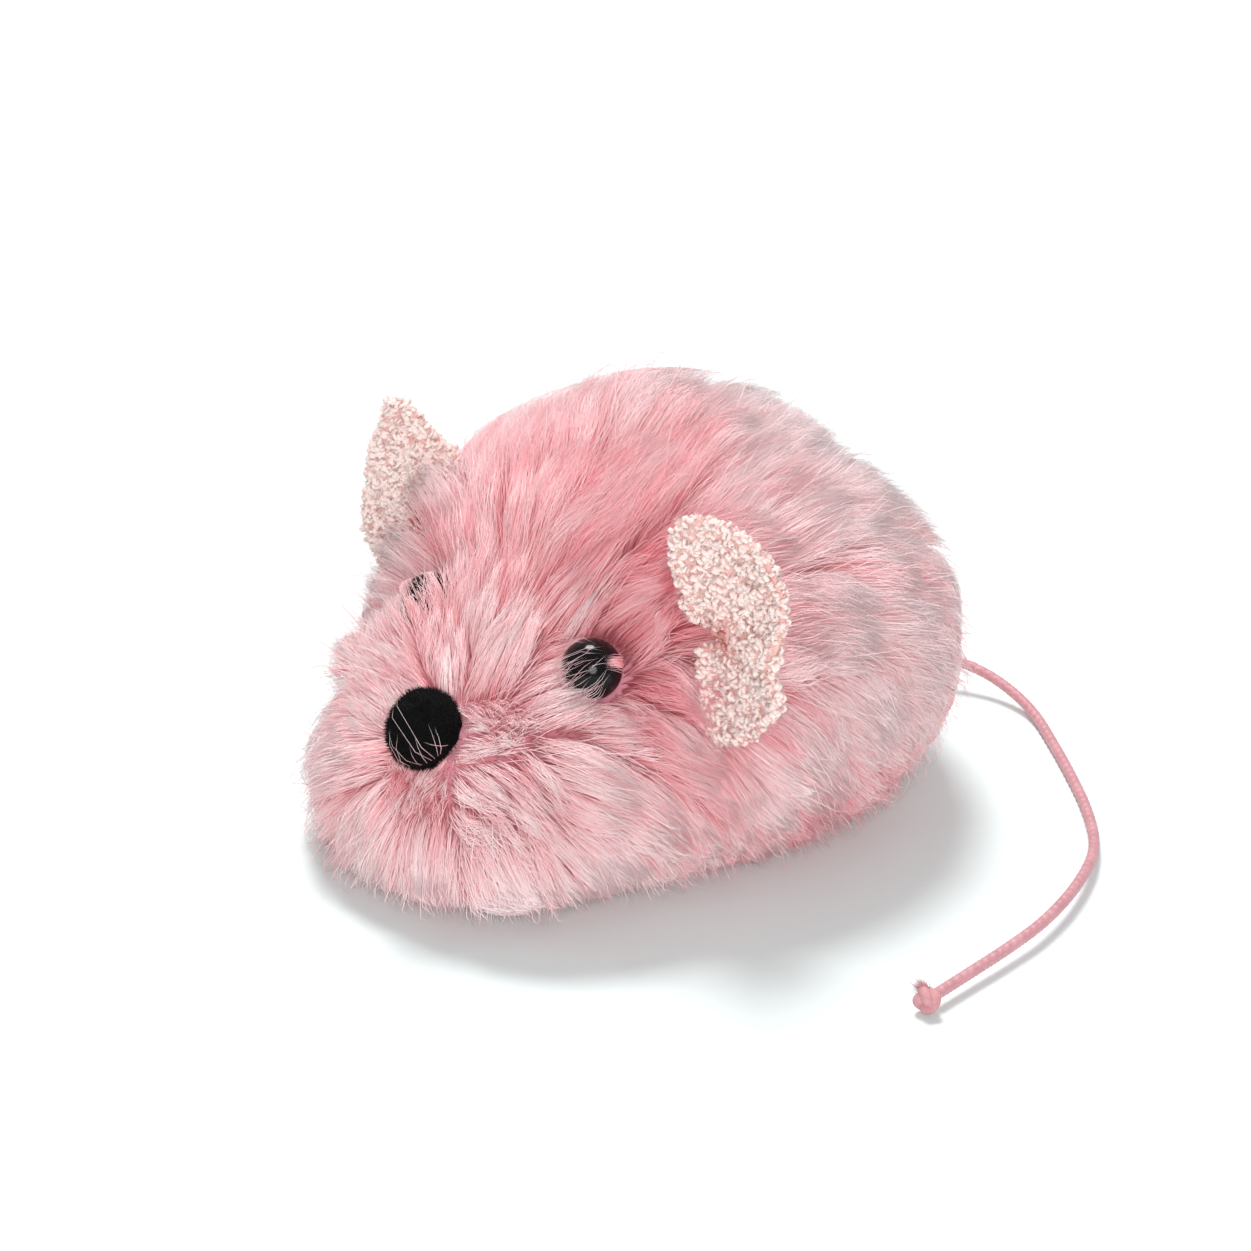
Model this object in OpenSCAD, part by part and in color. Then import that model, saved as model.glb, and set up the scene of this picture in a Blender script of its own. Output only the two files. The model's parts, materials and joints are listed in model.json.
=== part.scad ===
// Clockwork mouse: a plush-covered wind-up toy on a tray with a spring-driven axle.
// Millimetres. The nose points along -Y and +Z is up. X = 0 is the plane of symmetry of the
// body, and the origin is on the floor below the middle of the furred body.

/* [Fur coat] */
// Half width, half length and half height of the furred rump
rump_size = [40, 42, 32.5]; // [30:0.5:50]
// Half width, half length and half height of the furred head
head_size = [27, 26, 18]; // [15:0.5:35]
// Gap between the fur and the floor
fur_lift = 0.6; // [0.2:0.1:2]

/* [Shell and tray] */
// Half width, half length and half height of the moulded rump under the fur
shell_rump_size = [30.5, 32.5, 26.5]; // [20:0.5:34]
// Half width, half length and half height of the moulded head under the fur
shell_head_size = [19, 17.5, 14.5]; // [10:0.5:22]
// Thickness of the moulded shell
shell_wall = 1.6; // [1:0.1:2.5]
// Height of the tray's flat underside above the floor
tray_z = 3; // [2:0.1:4]
// Thickness of the tray
tray_thick = 2; // [1.5:0.1:3]

/* [Wheels] */
// Radius of the driven wheels over their tyres
wheel_r = 9; // [8:0.1:10]
// Width of the driven wheels
wheel_w = 4; // [3:0.1:5]
// Distance from the middle plane to the middle of a driven wheel
wheel_x = 14.5; // [14:0.1:16]
// Radius of the front roller
roller_r = 4; // [3.5:0.1:4.5]

/* [Gear train] */
// Gear module: the pitch diameter per tooth
gear_module = 0.5; // [0.4:0.05:0.6]
// Teeth on the main wheel, which the mainspring drives
main_teeth = 42; // [36:6:48]
// Teeth on both pinions
pinion_teeth = 12; // [10:1:14]
// Teeth on the second wheel
second_teeth = 36; // [30:6:42]
// Play between the teeth, measured along the pitch circle
backlash = 0.06; // [0.02:0.01:0.12]

/* [Winding] */
// Radius of the winding arbor
arbor_r = 1.5; // [1.2:0.1:1.8]
// Teeth on the ratchet
ratchet_teeth = 12; // [12:12:24]
// Radius of each wing of the key
wing_r = 3.6; // [3:0.1:4]

/* [Trim] */
// Radius of each bead eye
eye_r = 4.1; // [3:0.1:5]
// Radius of the nose
nose_r = 5.2; // [4:0.1:6]
// Thickness of an ear
ear_thick = 2.4; // [1.5:0.1:3]
// Diameter of the tail's cord
cord_d = 1.5; // [1.2:0.1:1.8]

/* [Hidden] */

$fn = 48;
hull_fn = 36;       // facets of the children of a hull
fit = 0.05;         // radial clearance of a running fit
gap = 0.3;          // clearance between soft parts and their neighbours
far = 200;          // larger than the whole toy

// Centres of the two ellipsoids of the furred body and of the shell inside it
rump_at = [0, 8, 24.5];
head_at = [0, -24, 15.5];
shell_rump_at = [0, 8, 20.5];
shell_head_at = [0, -23, 14];

// The tray's outline: a large round behind, a small round in front, and their tangents
tray_top = tray_z + tray_thick;
tray_rear_y = 8.5;
tray_rear_r = 26;
tray_front_y = -22.5;
tray_front_r = 15.5;
screw_posts = [[9, 27], [-9, 27], [9, -22], [-9, -22]];
post_r = 2.2;

// Gear centres as [y, z], worked out from the drive axle up to the winding arbor
gear_addendum = 0.8 * gear_module;
gear_dedendum = 1.05 * gear_module;
pressure_angle = 25;
axle_at = [14, wheel_r];
second_reach = gear_module * (second_teeth + pinion_teeth) / 2;
main_reach = gear_module * (main_teeth + pinion_teeth) / 2;
second_lean = 120;  // direction from the drive axle to the second arbor
main_lean = 178;    // direction from the second arbor to the winding arbor
second_at = axle_at + second_reach * [cos(second_lean), sin(second_lean)];
arbor_at = second_at + main_reach * [cos(main_lean), sin(main_lean)];

// Where the pieces sit across the toy, along X
plate_x = 10.2;     // inner face of each frame plate
plate_t = 0.8;
plate_out = plate_x + plate_t;
spring_x = [-8.5, -1.5];
ratchet_x = [1, 2.5];
main_x = [3, 5];
second_pinion_x = [2.6, 5.4];
second_wheel_x = [6.2, 7.8];
axle_pinion_x = [5.8, 8.2];
hub_r = 7;
axle_r = 1;
second_arbor_r = 1.2;
pivot_r = 0.8;
pillar_r = 1.4;
pillars_at = [[-15.5, 8.5], [18.5, 13], [-10.5, 32], [12, 31.5]];
foot_y = [-12, 0.5];
foot_w = 5;

// Ratchet and click, turned about the winding arbor
ratchet_r = 5;
ratchet_root = 4.1;
click_turn = 80;    // direction of the tooth face that the click rests on
click_reach = 6;    // from the click's tip to its pivot
click_tip_r = 4.6;
rivet_r = 0.7;
wheel_hole_r = 1.6;

// Key and its bush
bush_x = 29.8;
key_x = 33;
key_tip_x = 40.6;
key_plate = 1.4;
wing_offset = 5;
key_barrel_r = 2.6;
key_pocket_r = 9.5;

// Trim: where each piece sits and the way it faces, as [turn about Z, tilt down from +Z]
eye_at = [15, -22.6, 33.5];
eye_facing = [-62, 55];
nose_at = [0, -38.7, 25.6];
nose_facing = [-90, 48];
ear_at = [25.5, -13.8, 39.4];
ear_lobes = [[5, 9.5, 8.3], [7.5, -6.8, 7.2], [6, 1.5, 4]]; // offset in X and Z, and radius
stem_r = 1.1;
washer_r = 3.2;

// Tail: its outlet at the rear of the shell, then the points that the cord lies on
outlet_z = 8;
outlet_y = 38.9;
cord_r = cord_d / 2;
tail_route = [
  [0, 32.5, 8], [0, 40, 8], [0.5, 46, 7.5], [4, 53, 6.5], [9, 58, 5.2], [16, 60.5, 3.8],
  [22, 60.5, 2.4], [28, 58.5, 1.2], [35, 53.5, 0.9], [42.5, 47.5, 0.9], [50, 41, 0.9],
  [56.5, 34, 1.3], [61, 27, 2.1], [64.5, 18, 2.5], [66.5, 9, 2.5], [67, 1, 2.3],
  [67, -7, 2.1], [67, -14.4, 2]
];
tail_steps = 4;     // rings in each stretch of the route
cord_sides = 8;
knot_r = 1.9;

// ---------------------------------------------------------------- helpers

// A solid of circle form, drawn in a YZ plane at [y, z], from x = span[0] to span[1]
module across(at, span) {
  translate([span[0], at[0], at[1]])
    rotate([90, 0, 90])
      linear_extrude(span[1] - span[0])
        children();
}

// A round bar along X
module bar(at, span, r) {
  across(at, span)
    circle(r);
}

// Two points of the same height at the same place, one on each side
module both_sides() {
  children();
  mirror([1, 0, 0])
    children();
}

// Points +Z of the child the way that a trim piece faces
module facing(at, turn_tilt) {
  translate(at)
    rotate([0, turn_tilt[1], turn_tilt[0]])
      children();
}

module ellipsoid(at, size) {
  translate(at)
    scale(size)
      sphere(1, $fn = hull_fn);
}

// The smooth form through a rump and a head ellipsoid, each grown by `grow`
module body_form(rump, rump_r, head, head_r, grow = 0) {
  hull() {
    ellipsoid(rump, rump_r + grow * [1, 1, 1]);
    ellipsoid(head, head_r + grow * [1, 1, 1]);
  }
}

module above(z) {
  translate([-far / 2, -far / 2, z])
    cube(far);
}

// The tray's outline, grown by `grow`: two arcs joined by their common tangents
module tray_outline(grow = 0) {
  rear = tray_rear_r + grow;
  front = tray_front_r + grow;
  lean = asin((rear - front) / (tray_rear_y - tray_front_y));
  polygon(concat(
    [for (i = [0:32]) [0, tray_rear_y] + polar(rear, -lean + (180 + 2 * lean) * i / 32)],
    [for (i = [0:16]) [0, tray_front_y] + polar(front, 180 + lean + (180 - 2 * lean) * i / 16)]
  ));
}

// Involute function of a pressure angle, in degrees
function inv(a) = tan(a) * 180 / PI - a;

// Half of a tooth's angle at radius r, for a gear of pitch radius rp
function half_tooth(r, rp, teeth) =
  let (rb = rp * cos(pressure_angle))
  90 / teeth - backlash / 4 / rp * 180 / PI + inv(pressure_angle) - inv(acos(min(1, rb / r)));

function polar(r, a) = [r * cos(a), r * sin(a)];

// A spur gear with involute teeth, one of them centred on +X
module gear(teeth) {
  rp = gear_module * teeth / 2;
  rb = rp * cos(pressure_angle);
  root = rp - gear_dedendum;
  tip = rp + gear_addendum;
  start = max(rb, root);
  steps = 4;
  radii = [for (i = [0:steps]) start + (tip - start) * i / steps];
  polygon([
    for (k = [0:teeth - 1])
      let (a = 360 * k / teeth)
      each concat(
        [polar(root, a - half_tooth(start, rp, teeth))],
        [for (r = radii) polar(r, a - half_tooth(r, rp, teeth))],
        [for (i = [steps:-1:0]) polar(radii[i], a + half_tooth(radii[i], rp, teeth))],
        [polar(root, a + half_tooth(start, rp, teeth))]
      )
  ]);
}

// A gear with a bore and evenly spaced round holes
module pierced_gear(teeth, bore, holes, hole_r, ring_r) {
  difference() {
    gear(teeth);
    circle(bore);
    for (i = [0:1:holes - 1])
      rotate(360 * (i + 0.5) / holes)
        translate([ring_r, 0])
          circle(hole_r);
  }
}

// A cross slot for a screw's head, sunk from z = 0 upward
module cross_slot(width, depth) {
  for (turn = [0, 90])
    rotate(turn)
      translate([-width / 2, -width / 10, -1])
        cube([width, width / 5, 1 + depth]);
}

// ---------------------------------------------------------------- body and tray

// Fur fabric and its pile, open underneath, glued over the shell
module fur_coat() {
  color("pink")
    difference() {
      intersection() {
        body_form(rump_at, rump_size, head_at, head_size);
        above(fur_lift);
      }
      body_form(shell_rump_at, shell_rump_size, shell_head_at, shell_head_size, gap);
      translate([0, 0, -1])
        linear_extrude(tray_top + 1 + gap)
          tray_outline(gap);
      bar(arbor_at, [-far / 2, -18], key_pocket_r);
      both_sides()
        facing(eye_at, eye_facing)
          translate([0, 0, -6])
            cylinder(h = 30, r = eye_r + gap);
      facing(nose_at, nose_facing)
        translate([0, 0, -5])
          cylinder(h = 30, r = nose_r + gap);
      both_sides()
        ear_plate(gap);
      translate([0, outlet_y - 6, outlet_z])
        rotate([-90, 0, 0])
          cylinder(h = 20, r = 3.3);
    }
}

module screw_post(x, y) {
  intersection() {
    translate([x, y, tray_top])
      cylinder(h = 40, r = post_r);
    body_form(shell_rump_at, shell_rump_size, shell_head_at, shell_head_size, -shell_wall / 2);
  }
}

// Moulded dome with posts for the tray screws and holes for the trim's stems
module body_shell() {
  color("mistyrose")
    difference() {
      union() {
        difference() {
          intersection() {
            body_form(shell_rump_at, shell_rump_size, shell_head_at, shell_head_size);
            above(tray_top);
          }
          body_form(shell_rump_at, shell_rump_size, shell_head_at, shell_head_size, -shell_wall);
        }
        for (p = screw_posts)
          screw_post(p[0], p[1]);
        translate([0, outlet_y, outlet_z])
          rotate([90, 0, 0])
            cylinder(h = 5, r = 3);
        bar(arbor_at, [-bush_x, -bush_x + 4], 5);
      }
      for (p = screw_posts)
        translate([p[0], p[1], 0])
          cylinder(h = 13, r = 0.9);
      bar(arbor_at, [-far / 2, 0], 3);
      translate([0, outlet_y + 1, outlet_z])
        rotate([90, 0, 0])
          cylinder(h = 8, r = 1.5);
      both_sides()
        facing(eye_at, eye_facing)
          translate([0, 0, -12])
            cylinder(h = 12, r = stem_r);
      facing(nose_at, nose_facing)
        translate([0, 0, -12])
          cylinder(h = 12, r = stem_r);
    }
}

// Flat tray that carries the motor, with slots for the wheels and the roller
module chassis_tray() {
  slot_w = wheel_w + 1.2;
  slot_l = 2 * wheel_r;
  color("gainsboro")
    difference() {
      translate([0, 0, tray_z])
        linear_extrude(tray_thick)
          difference() {
            tray_outline();
            both_sides()
              translate([wheel_x - slot_w / 2, axle_at[0] - slot_l / 2])
                square([slot_w, slot_l]);
            translate([-5.8, -33.2])
              square([11.6, 10.4]);
          }
      for (p = screw_posts)
        translate([p[0], p[1], tray_z]) {
          translate([0, 0, -1])
            cylinder(h = 4, r = 1);
          translate([0, 0, -0.01])
            cylinder(h = 1.01, r1 = 2, r2 = 1);
        }
      both_sides()
        for (y = foot_y)
          translate([14, y, tray_top - 1.4])
            cylinder(h = 2, r = 0.7);
      both_sides()
        translate([7.4, -28, tray_top - 1.4])
          cylinder(h = 2, r = 0.7);
    }
}

module nose() {
  color("black")
    facing(nose_at, nose_facing) {
      intersection() {
        sphere(nose_r);
        translate([-far / 2, -far / 2, -2.7])
          cube(far);
      }
      translate([0, 0, -8])
        cylinder(h = 6, r = stem_r);
    }
}

// Spring washer that grips a stem inside the shell, `down` below the trim piece
module stem_washer(down) {
  translate([0, 0, -down])
    difference() {
      cylinder(h = 0.8, r = washer_r);
      translate([0, 0, -1])
        cylinder(h = 3, r = stem_r);
    }
}

module nose_washer() {
  color("silver")
    facing(nose_at, nose_facing)
      stem_washer(6.7);
}

// Glossy bead on a stem
module eye_bead() {
  facing(eye_at, eye_facing) {
    intersection() {
      sphere(eye_r);
      translate([-far / 2, -far / 2, -2.2])
        cube(far);
    }
    translate([0, 0, -8.2])
      cylinder(h = 7, r = stem_r);
  }
}

module left_eye() {
  color("black")
    eye_bead();
}

module right_eye() {
  color("black")
    mirror([1, 0, 0])
      eye_bead();
}

module eye_washers() {
  color("silver")
    both_sides()
      facing(eye_at, eye_facing)
        stem_washer(7.1);
}

// The ear's outline: two lobes pinched at the root, and a tab sewn to the fur's backing
module ear_plate(grow = 0) {
  translate([ear_at[0], ear_at[1] + (ear_thick + 2 * grow) / 2, ear_at[2]])
    rotate([90, 0, 0]) {
      for (lobe = ear_lobes)
        translate([lobe[0], lobe[1], 0])
          cylinder(h = ear_thick + 2 * grow, r = lobe[2] + grow);
      linear_extrude(ear_thick + 2 * grow)
        polygon([[4, -4 - grow], [-5 - grow, -6 - grow], [-5 - grow, -2 + grow], [4, 5 + grow]]);
    }
}

module left_ear() {
  color("peachpuff")
    ear_plate();
}

module right_ear() {
  color("peachpuff")
    mirror([1, 0, 0])
      ear_plate();
}

// ---------------------------------------------------------------- motor frame

// One side of the motor: a plate with two feet, drawn for the +X side
module frame_plate() {
  difference() {
    union() {
      across([0, 0], [plate_x, plate_out])
        polygon([
          [-18, tray_top], [21, tray_top], [21, 17], [14.5, 34.5], [-12.5, 34.5], [-14.5, 27],
          [-18, 20]
        ]);
      for (y = foot_y)
        translate([plate_x, y - foot_w / 2, tray_top])
          cube([16.4 - plate_x, foot_w, plate_t]);
    }
    bar(arbor_at, [0, 20], arbor_r + fit);
    bar(second_at, [0, 20], pivot_r + fit);
    bar(axle_at, [0, 20], axle_r + fit);
    for (p = pillars_at)
      bar(p, [0, 20], pivot_r);
    for (y = foot_y)
      translate([14, y, 0])
        cylinder(h = 10, r = 0.8);
  }
}

module left_frame_plate() {
  color("silver")
    frame_plate();
}

module right_frame_plate() {
  color("silver")
    mirror([1, 0, 0])
      frame_plate();
}

// Pillars with riveted ends that hold the two plates apart
module frame_pillars() {
  color("goldenrod")
    for (p = pillars_at) {
      bar(p, [-plate_x, plate_x], pillar_r);
      bar(p, [-plate_out, plate_out], pivot_r);
      both_sides()
        bar(p, [plate_out, plate_out + 0.4], 1.2);
    }
}

// ---------------------------------------------------------------- winding

// Arbor from the left plate to the key, with two collars and a peg for the mainspring
module winding_arbor() {
  color("silver") {
    bar(arbor_at, [-key_x - 3, plate_out + 1], arbor_r);
    bar(arbor_at, [plate_x - 0.8, plate_x - 0.1], 2.3);
    bar(arbor_at, [-plate_x + 0.1, -plate_x + 0.8], 2.3);
    bar(arbor_at, [main_x[1] + 0.1, main_x[1] + 0.7], 2.3);
    translate([-5, arbor_at[0], arbor_at[1]])
      cylinder(h = 2.2, r = 0.5);
  }
}

// Key: a barrel on the arbor's end and a flat bow with two pierced wings
module winding_key() {
  bow_at = -key_tip_x + wing_r;
  color("silver")
    difference() {
      union() {
        bar(arbor_at, [bow_at - 0.6, -bush_x - 1.3], key_barrel_r);
        translate([bow_at, arbor_at[0], arbor_at[1] - key_plate / 2])
          linear_extrude(key_plate) {
            for (side = [-1, 1])
              translate([0, side * wing_offset])
                circle(wing_r);
            square([2 * 2.4, 2 * wing_offset], center = true);
          }
      }
      bar(arbor_at, [-key_x - 3, 0], arbor_r);
      for (side = [-1, 1])
        translate([bow_at, arbor_at[0] + side * (wing_offset + 0.4), 0])
          cylinder(h = far, r = 1.7);
    }
}

// Flanged bush that lines the hole in the shell
module key_bush() {
  color("goldenrod")
    difference() {
      union() {
        bar(arbor_at, [-bush_x - 0.9, -bush_x], 4.5);
        bar(arbor_at, [-bush_x, -bush_x + 4.5], 3);
      }
      bar(arbor_at, [-far / 2, 0], arbor_r + fit);
    }
}

// Mainspring: a flat spiral ribbon whose outer end is looped round a pillar
module mainspring() {
  turns = 8;
  inner_r = 2.7;
  outer_r = 9.4;
  ribbon = 0.3;
  loop = pillars_at[2] - arbor_at;
  loop_turn = atan2(loop[1], loop[0]);
  steps = 24 * turns;
  function coil(i) = inner_r + (outer_r - inner_r) * i / steps;
  function turn(i) = loop_turn + 8 - 360 * turns * (1 - i / steps);
  color("slategray")
    difference() {
      union() {
        across(arbor_at, spring_x)
          polygon(concat(
            [for (i = [0:steps]) polar(coil(i), turn(i))],
            [for (i = [steps:-1:0]) polar(coil(i) + ribbon, turn(i))]
          ));
        across(arbor_at, spring_x)
          rotate(loop_turn)
            polygon([
              polar(outer_r + ribbon / 2, 7.4), polar(norm(loop), 7.4), polar(norm(loop), 6),
              polar(outer_r + ribbon / 2, 6)
            ]);
        bar(pillars_at[2], spring_x, pillar_r + 0.45);
      }
      bar(pillars_at[2], [-plate_x, 0], pillar_r + fit);
    }
}

// Main wheel, loose on the arbor, with the click's stop stud
module main_wheel() {
  color("goldenrod")
    across(arbor_at, main_x)
      rotate(main_lean - 180)
        difference() {
          pierced_gear(main_teeth, arbor_r + fit, 0, 0, 0);
          rotate(click_turn - main_lean + 180)
            translate([-click_reach, click_tip_r])
              circle(rivet_r);
          for (a = [150, 200, 250, 300])
            rotate(a)
              translate([6.4, 0])
                circle(wheel_hole_r);
        }
}

// Ratchet: teeth with one steep face, fixed to the arbor
module ratchet_wheel() {
  pitch = 360 / ratchet_teeth;
  color("darkgoldenrod")
    across(arbor_at, ratchet_x)
      rotate(click_turn + 90)
        difference() {
          polygon([
            for (k = [0:ratchet_teeth - 1])
              let (a = k * pitch)
              each [polar(ratchet_root, a + 2 - pitch), polar(ratchet_r, a), polar(ratchet_root, a + 1)]
          ]);
          circle(arbor_r);
        }
}

// Click: an arm whose tip rests against a ratchet tooth
module click() {
  color("silver")
    across(arbor_at, [ratchet_x[0] + 0.1, ratchet_x[1] + 0.3])
      rotate(click_turn)
        difference() {
          union() {
            translate([-click_reach, click_tip_r])
              circle(1.5);
            polygon([
              [-click_reach, click_tip_r - 1.2], [-2.6, click_tip_r - 0.05], [-0.25, 4.3],
              [-0.2, 5.2], [-2.6, 6], [-click_reach, click_tip_r + 1.5]
            ]);
          }
          translate([-click_reach, click_tip_r])
            circle(rivet_r + fit);
        }
}

module click_rivet() {
  pivot = arbor_at + polar(norm([click_reach, click_tip_r]), click_turn + atan2(click_tip_r, -click_reach));
  color("goldenrod") {
    bar(pivot, [ratchet_x[0] - 0.4, main_x[1] + 0.4], rivet_r);
    bar(pivot, [ratchet_x[0] - 0.4, ratchet_x[0]], 1.2);
    bar(pivot, [main_x[1], main_x[1] + 0.4], 1.2);
  }
}

// Leaf spring fixed to the main wheel, pressing the click's back
module click_spring() {
  color("slategray")
    across(arbor_at, [ratchet_x[0] + 0.4, main_x[0]])
      rotate(click_turn)
        polygon([
          [-2.4, 6.15], [-2.2, 6.45], [-1, 7.6], [1.2, 8.6], [3.6, 8.6], [3.6, 7.4], [1.4, 7.4],
          [1.4, 8.1], [-0.7, 7.2], [-1.9, 6.2]
        ]);
}

// ---------------------------------------------------------------- gear train

module second_arbor() {
  color("silver") {
    bar(second_at, [-plate_x + 0.2, plate_x - 0.2], second_arbor_r);
    bar(second_at, [-plate_out - 0.4, plate_out + 0.4], pivot_r);
  }
}

module second_pinion() {
  color("goldenrod")
    across(second_at, second_pinion_x)
      rotate(main_lean + 180 / pinion_teeth)
        pierced_gear(pinion_teeth, second_arbor_r, 0, 0, 0);
}

module second_wheel() {
  color("goldenrod")
    across(second_at, second_wheel_x)
      rotate(second_lean + 180)
        pierced_gear(second_teeth, second_arbor_r, 5, 2, 5.2);
}

module axle_pinion() {
  color("goldenrod")
    across(axle_at, axle_pinion_x)
      rotate(second_lean + 180 / pinion_teeth)
        pierced_gear(pinion_teeth, axle_r, 0, 0, 0);
}

module drive_axle() {
  color("silver")
    bar(axle_at, [-wheel_x - wheel_w / 2 - 0.5, wheel_x + wheel_w / 2 + 0.5], axle_r);
}

// ---------------------------------------------------------------- wheels

// Driven wheel's hub on the +X side: a web with five holes, a rim and a boss
module wheel_hub() {
  inner = wheel_x - wheel_w / 2;
  difference() {
    union() {
      bar(axle_at, [inner, inner + wheel_w], hub_r);
      bar(axle_at, [plate_out + 0.2, inner], 2.2);
    }
    for (side = [inner - 1, inner + wheel_w - 1.2])
      across(axle_at, [side, side + 2.2])
        difference() {
          circle(hub_r - 1);
          circle(2.2);
        }
    bar(axle_at, [0, 30], axle_r);
    for (i = [0:4])
      bar(axle_at + polar(4.1, 72 * i), [inner, inner + wheel_w], 1.2);
  }
}

module left_wheel_hub() {
  color("white")
    wheel_hub();
}

module right_wheel_hub() {
  color("white")
    mirror([1, 0, 0])
      wheel_hub();
}

module tyre() {
  half = wheel_w / 2;
  translate([wheel_x, axle_at[0], axle_at[1]])
    rotate([0, 90, 0])
      rotate_extrude()
        polygon([
          [hub_r, -half], [wheel_r - 0.5, -half], [wheel_r, -half + 0.5], [wheel_r, half - 0.5],
          [wheel_r - 0.5, half], [hub_r, half]
        ]);
}

module left_tyre() {
  color("dimgray")
    tyre();
}

module right_tyre() {
  color("dimgray")
    mirror([1, 0, 0])
      tyre();
}

// ---------------------------------------------------------------- front roller

roller_at = [-28, roller_r];
roller_half = 4;
fork_gap = roller_half + 0.25;
fork_top = 2 * roller_r + 1.4;

module front_roller() {
  color("white")
    difference() {
      bar(roller_at, [-roller_half, roller_half], roller_r);
      bar(roller_at, [-5, 5], pivot_r + fit);
      for (side = [-5, roller_half - 0.8])
        across(roller_at, [side, side + 1.8])
          difference() {
            circle(roller_r - 0.8);
            circle(1.7);
          }
    }
}

// Bent strip over the roller: two legs, a bridge and two feet on the tray
module roller_fork() {
  color("silver")
    difference() {
      union() {
        translate([-fork_gap - 0.8, roller_at[0] - 2.5, fork_top - 0.8])
          cube([2 * fork_gap + 1.6, 5, 0.8]);
        both_sides() {
          translate([fork_gap, roller_at[0] - 2.5, tray_z + 0.1])
            cube([0.8, 5, fork_top - tray_z - 0.1]);
          translate([fork_gap, roller_at[0] - 2.5, tray_top])
            cube([9.4 - fork_gap, 5, 0.8]);
        }
      }
      bar(roller_at, [-10, 10], pivot_r);
      both_sides()
        translate([7.4, roller_at[0], 0])
          cylinder(h = 10, r = 0.8);
    }
}

module roller_pin() {
  color("silver")
    bar(roller_at, [-fork_gap - 0.8, fork_gap + 0.8], pivot_r);
}

// ---------------------------------------------------------------- fasteners

// Countersunk screws that hold the tray to the shell's posts
module tray_screws() {
  color("silver")
    for (p = screw_posts)
      translate([p[0], p[1], tray_z])
        difference() {
          union() {
            translate([0, 0, 0.1])
              cylinder(h = 0.9, r1 = 1.8, r2 = 0.95);
            cylinder(h = 9.5, r = 0.9);
          }
          translate([0, 0, 0.1])
            cross_slot(2.4, 0.4);
          translate([0, 0, -9.9])
            cylinder(h = 10, r = 3);
        }
}

// Pan head screw through a foot of 0.8 into the tray
module pan_screw(x, y) {
  translate([x, y, tray_top]) {
    difference() {
      translate([0, 0, plate_t])
        cylinder(h = 1, r = 1.5);
      translate([0, 0, plate_t + 1])
        mirror([0, 0, 1])
          cross_slot(2, 0.4);
    }
    translate([0, 0, -1.3])
      cylinder(h = 1.3 + plate_t, r = 0.7);
  }
}

module motor_screws() {
  color("silver")
    for (side = [-1, 1]) {
      for (y = foot_y)
        pan_screw(14 * side, y);
      pan_screw(7.4 * side, roller_at[0]);
    }
}

// ---------------------------------------------------------------- tail

module tail_grommet() {
  color("hotpink")
    translate([0, outlet_y, outlet_z])
      rotate([-90, 0, 0])
        difference() {
          union() {
            cylinder(h = 0.8, r = 2.4);
            translate([0, 0, -4.5])
              cylinder(h = 4.5, r = 1.5);
          }
          translate([0, 0, -6])
            cylinder(h = 12, r = cord_r + fit);
        }
}

// Knot inside the shell that stops the cord from pulling out
module tail_stop_knot() {
  color("lightpink")
    translate(tail_route[0] - [0, knot_r - 0.3, 0])
      intersection() {
        sphere(knot_r);
        translate([-far / 2, -far + knot_r - 0.3, -far / 2])
          cube(far);
      }
}

// Catmull-Rom spline through the route's points
function clamp_index(i) = max(0, min(len(tail_route) - 1, i));
function spline(i, t) =
  let (
    a = tail_route[clamp_index(i - 1)], b = tail_route[i],
    c = tail_route[clamp_index(i + 1)], d = tail_route[clamp_index(i + 2)]
  )
  0.5 * (2 * b + (c - a) * t + (2 * a - 5 * b + 4 * c - d) * t * t + (3 * b - a - 3 * c + d) * t * t * t);

// The cord: one tube swept along the route, with square ends
module tail_cord() {
  path = [
    for (i = [0:len(tail_route) - 2]) for (k = [0:tail_steps - 1]) spline(i, k / tail_steps),
    tail_route[len(tail_route) - 1]
  ];
  n = len(path);
  rings = [
    for (i = [0:n - 1])
      let (
        ahead = path[min(n - 1, i + 1)] - path[max(0, i - 1)],
        way = i == 0 ? [0, 1, 0] : i == n - 1 ? [0, -1, 0] : ahead / norm(ahead),
        side = cross(way, [0, 0, 1]) / norm(cross(way, [0, 0, 1])),
        over = cross(side, way)
      )
      for (s = [0:cord_sides - 1])
        let (a = 360 * (s + 0.5) / cord_sides)
        path[i] + cord_r * (cos(a) * side + sin(a) * over)
  ];
  color("lightpink")
    polyhedron(
      points = rings,
      faces = concat(
        [[for (s = [0:cord_sides - 1]) s]],
        [[for (s = [cord_sides - 1:-1:0]) (n - 1) * cord_sides + s]],
        [
          for (i = [0:n - 2]) for (s = [0:cord_sides - 1])
            let (t = (s + 1) % cord_sides, a = i * cord_sides, b = a + cord_sides)
            each [[a + s, b + s, b + t], [a + s, b + t, a + t]]
        ]
      )
    );
}

// Knot at the free end, with the short frayed end that sticks out of it
module tail_knot() {
  last = tail_route[len(tail_route) - 1];
  color("lightpink")
    intersection() {
      translate(last - [0, 1.6, 0]) {
        sphere(knot_r);
        rotate([0, -40, 25])
          cylinder(h = 3.6, r = cord_r);
      }
      translate([-far / 2, last[1] - far, -far / 2])
        cube(far);
    }
}

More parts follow.
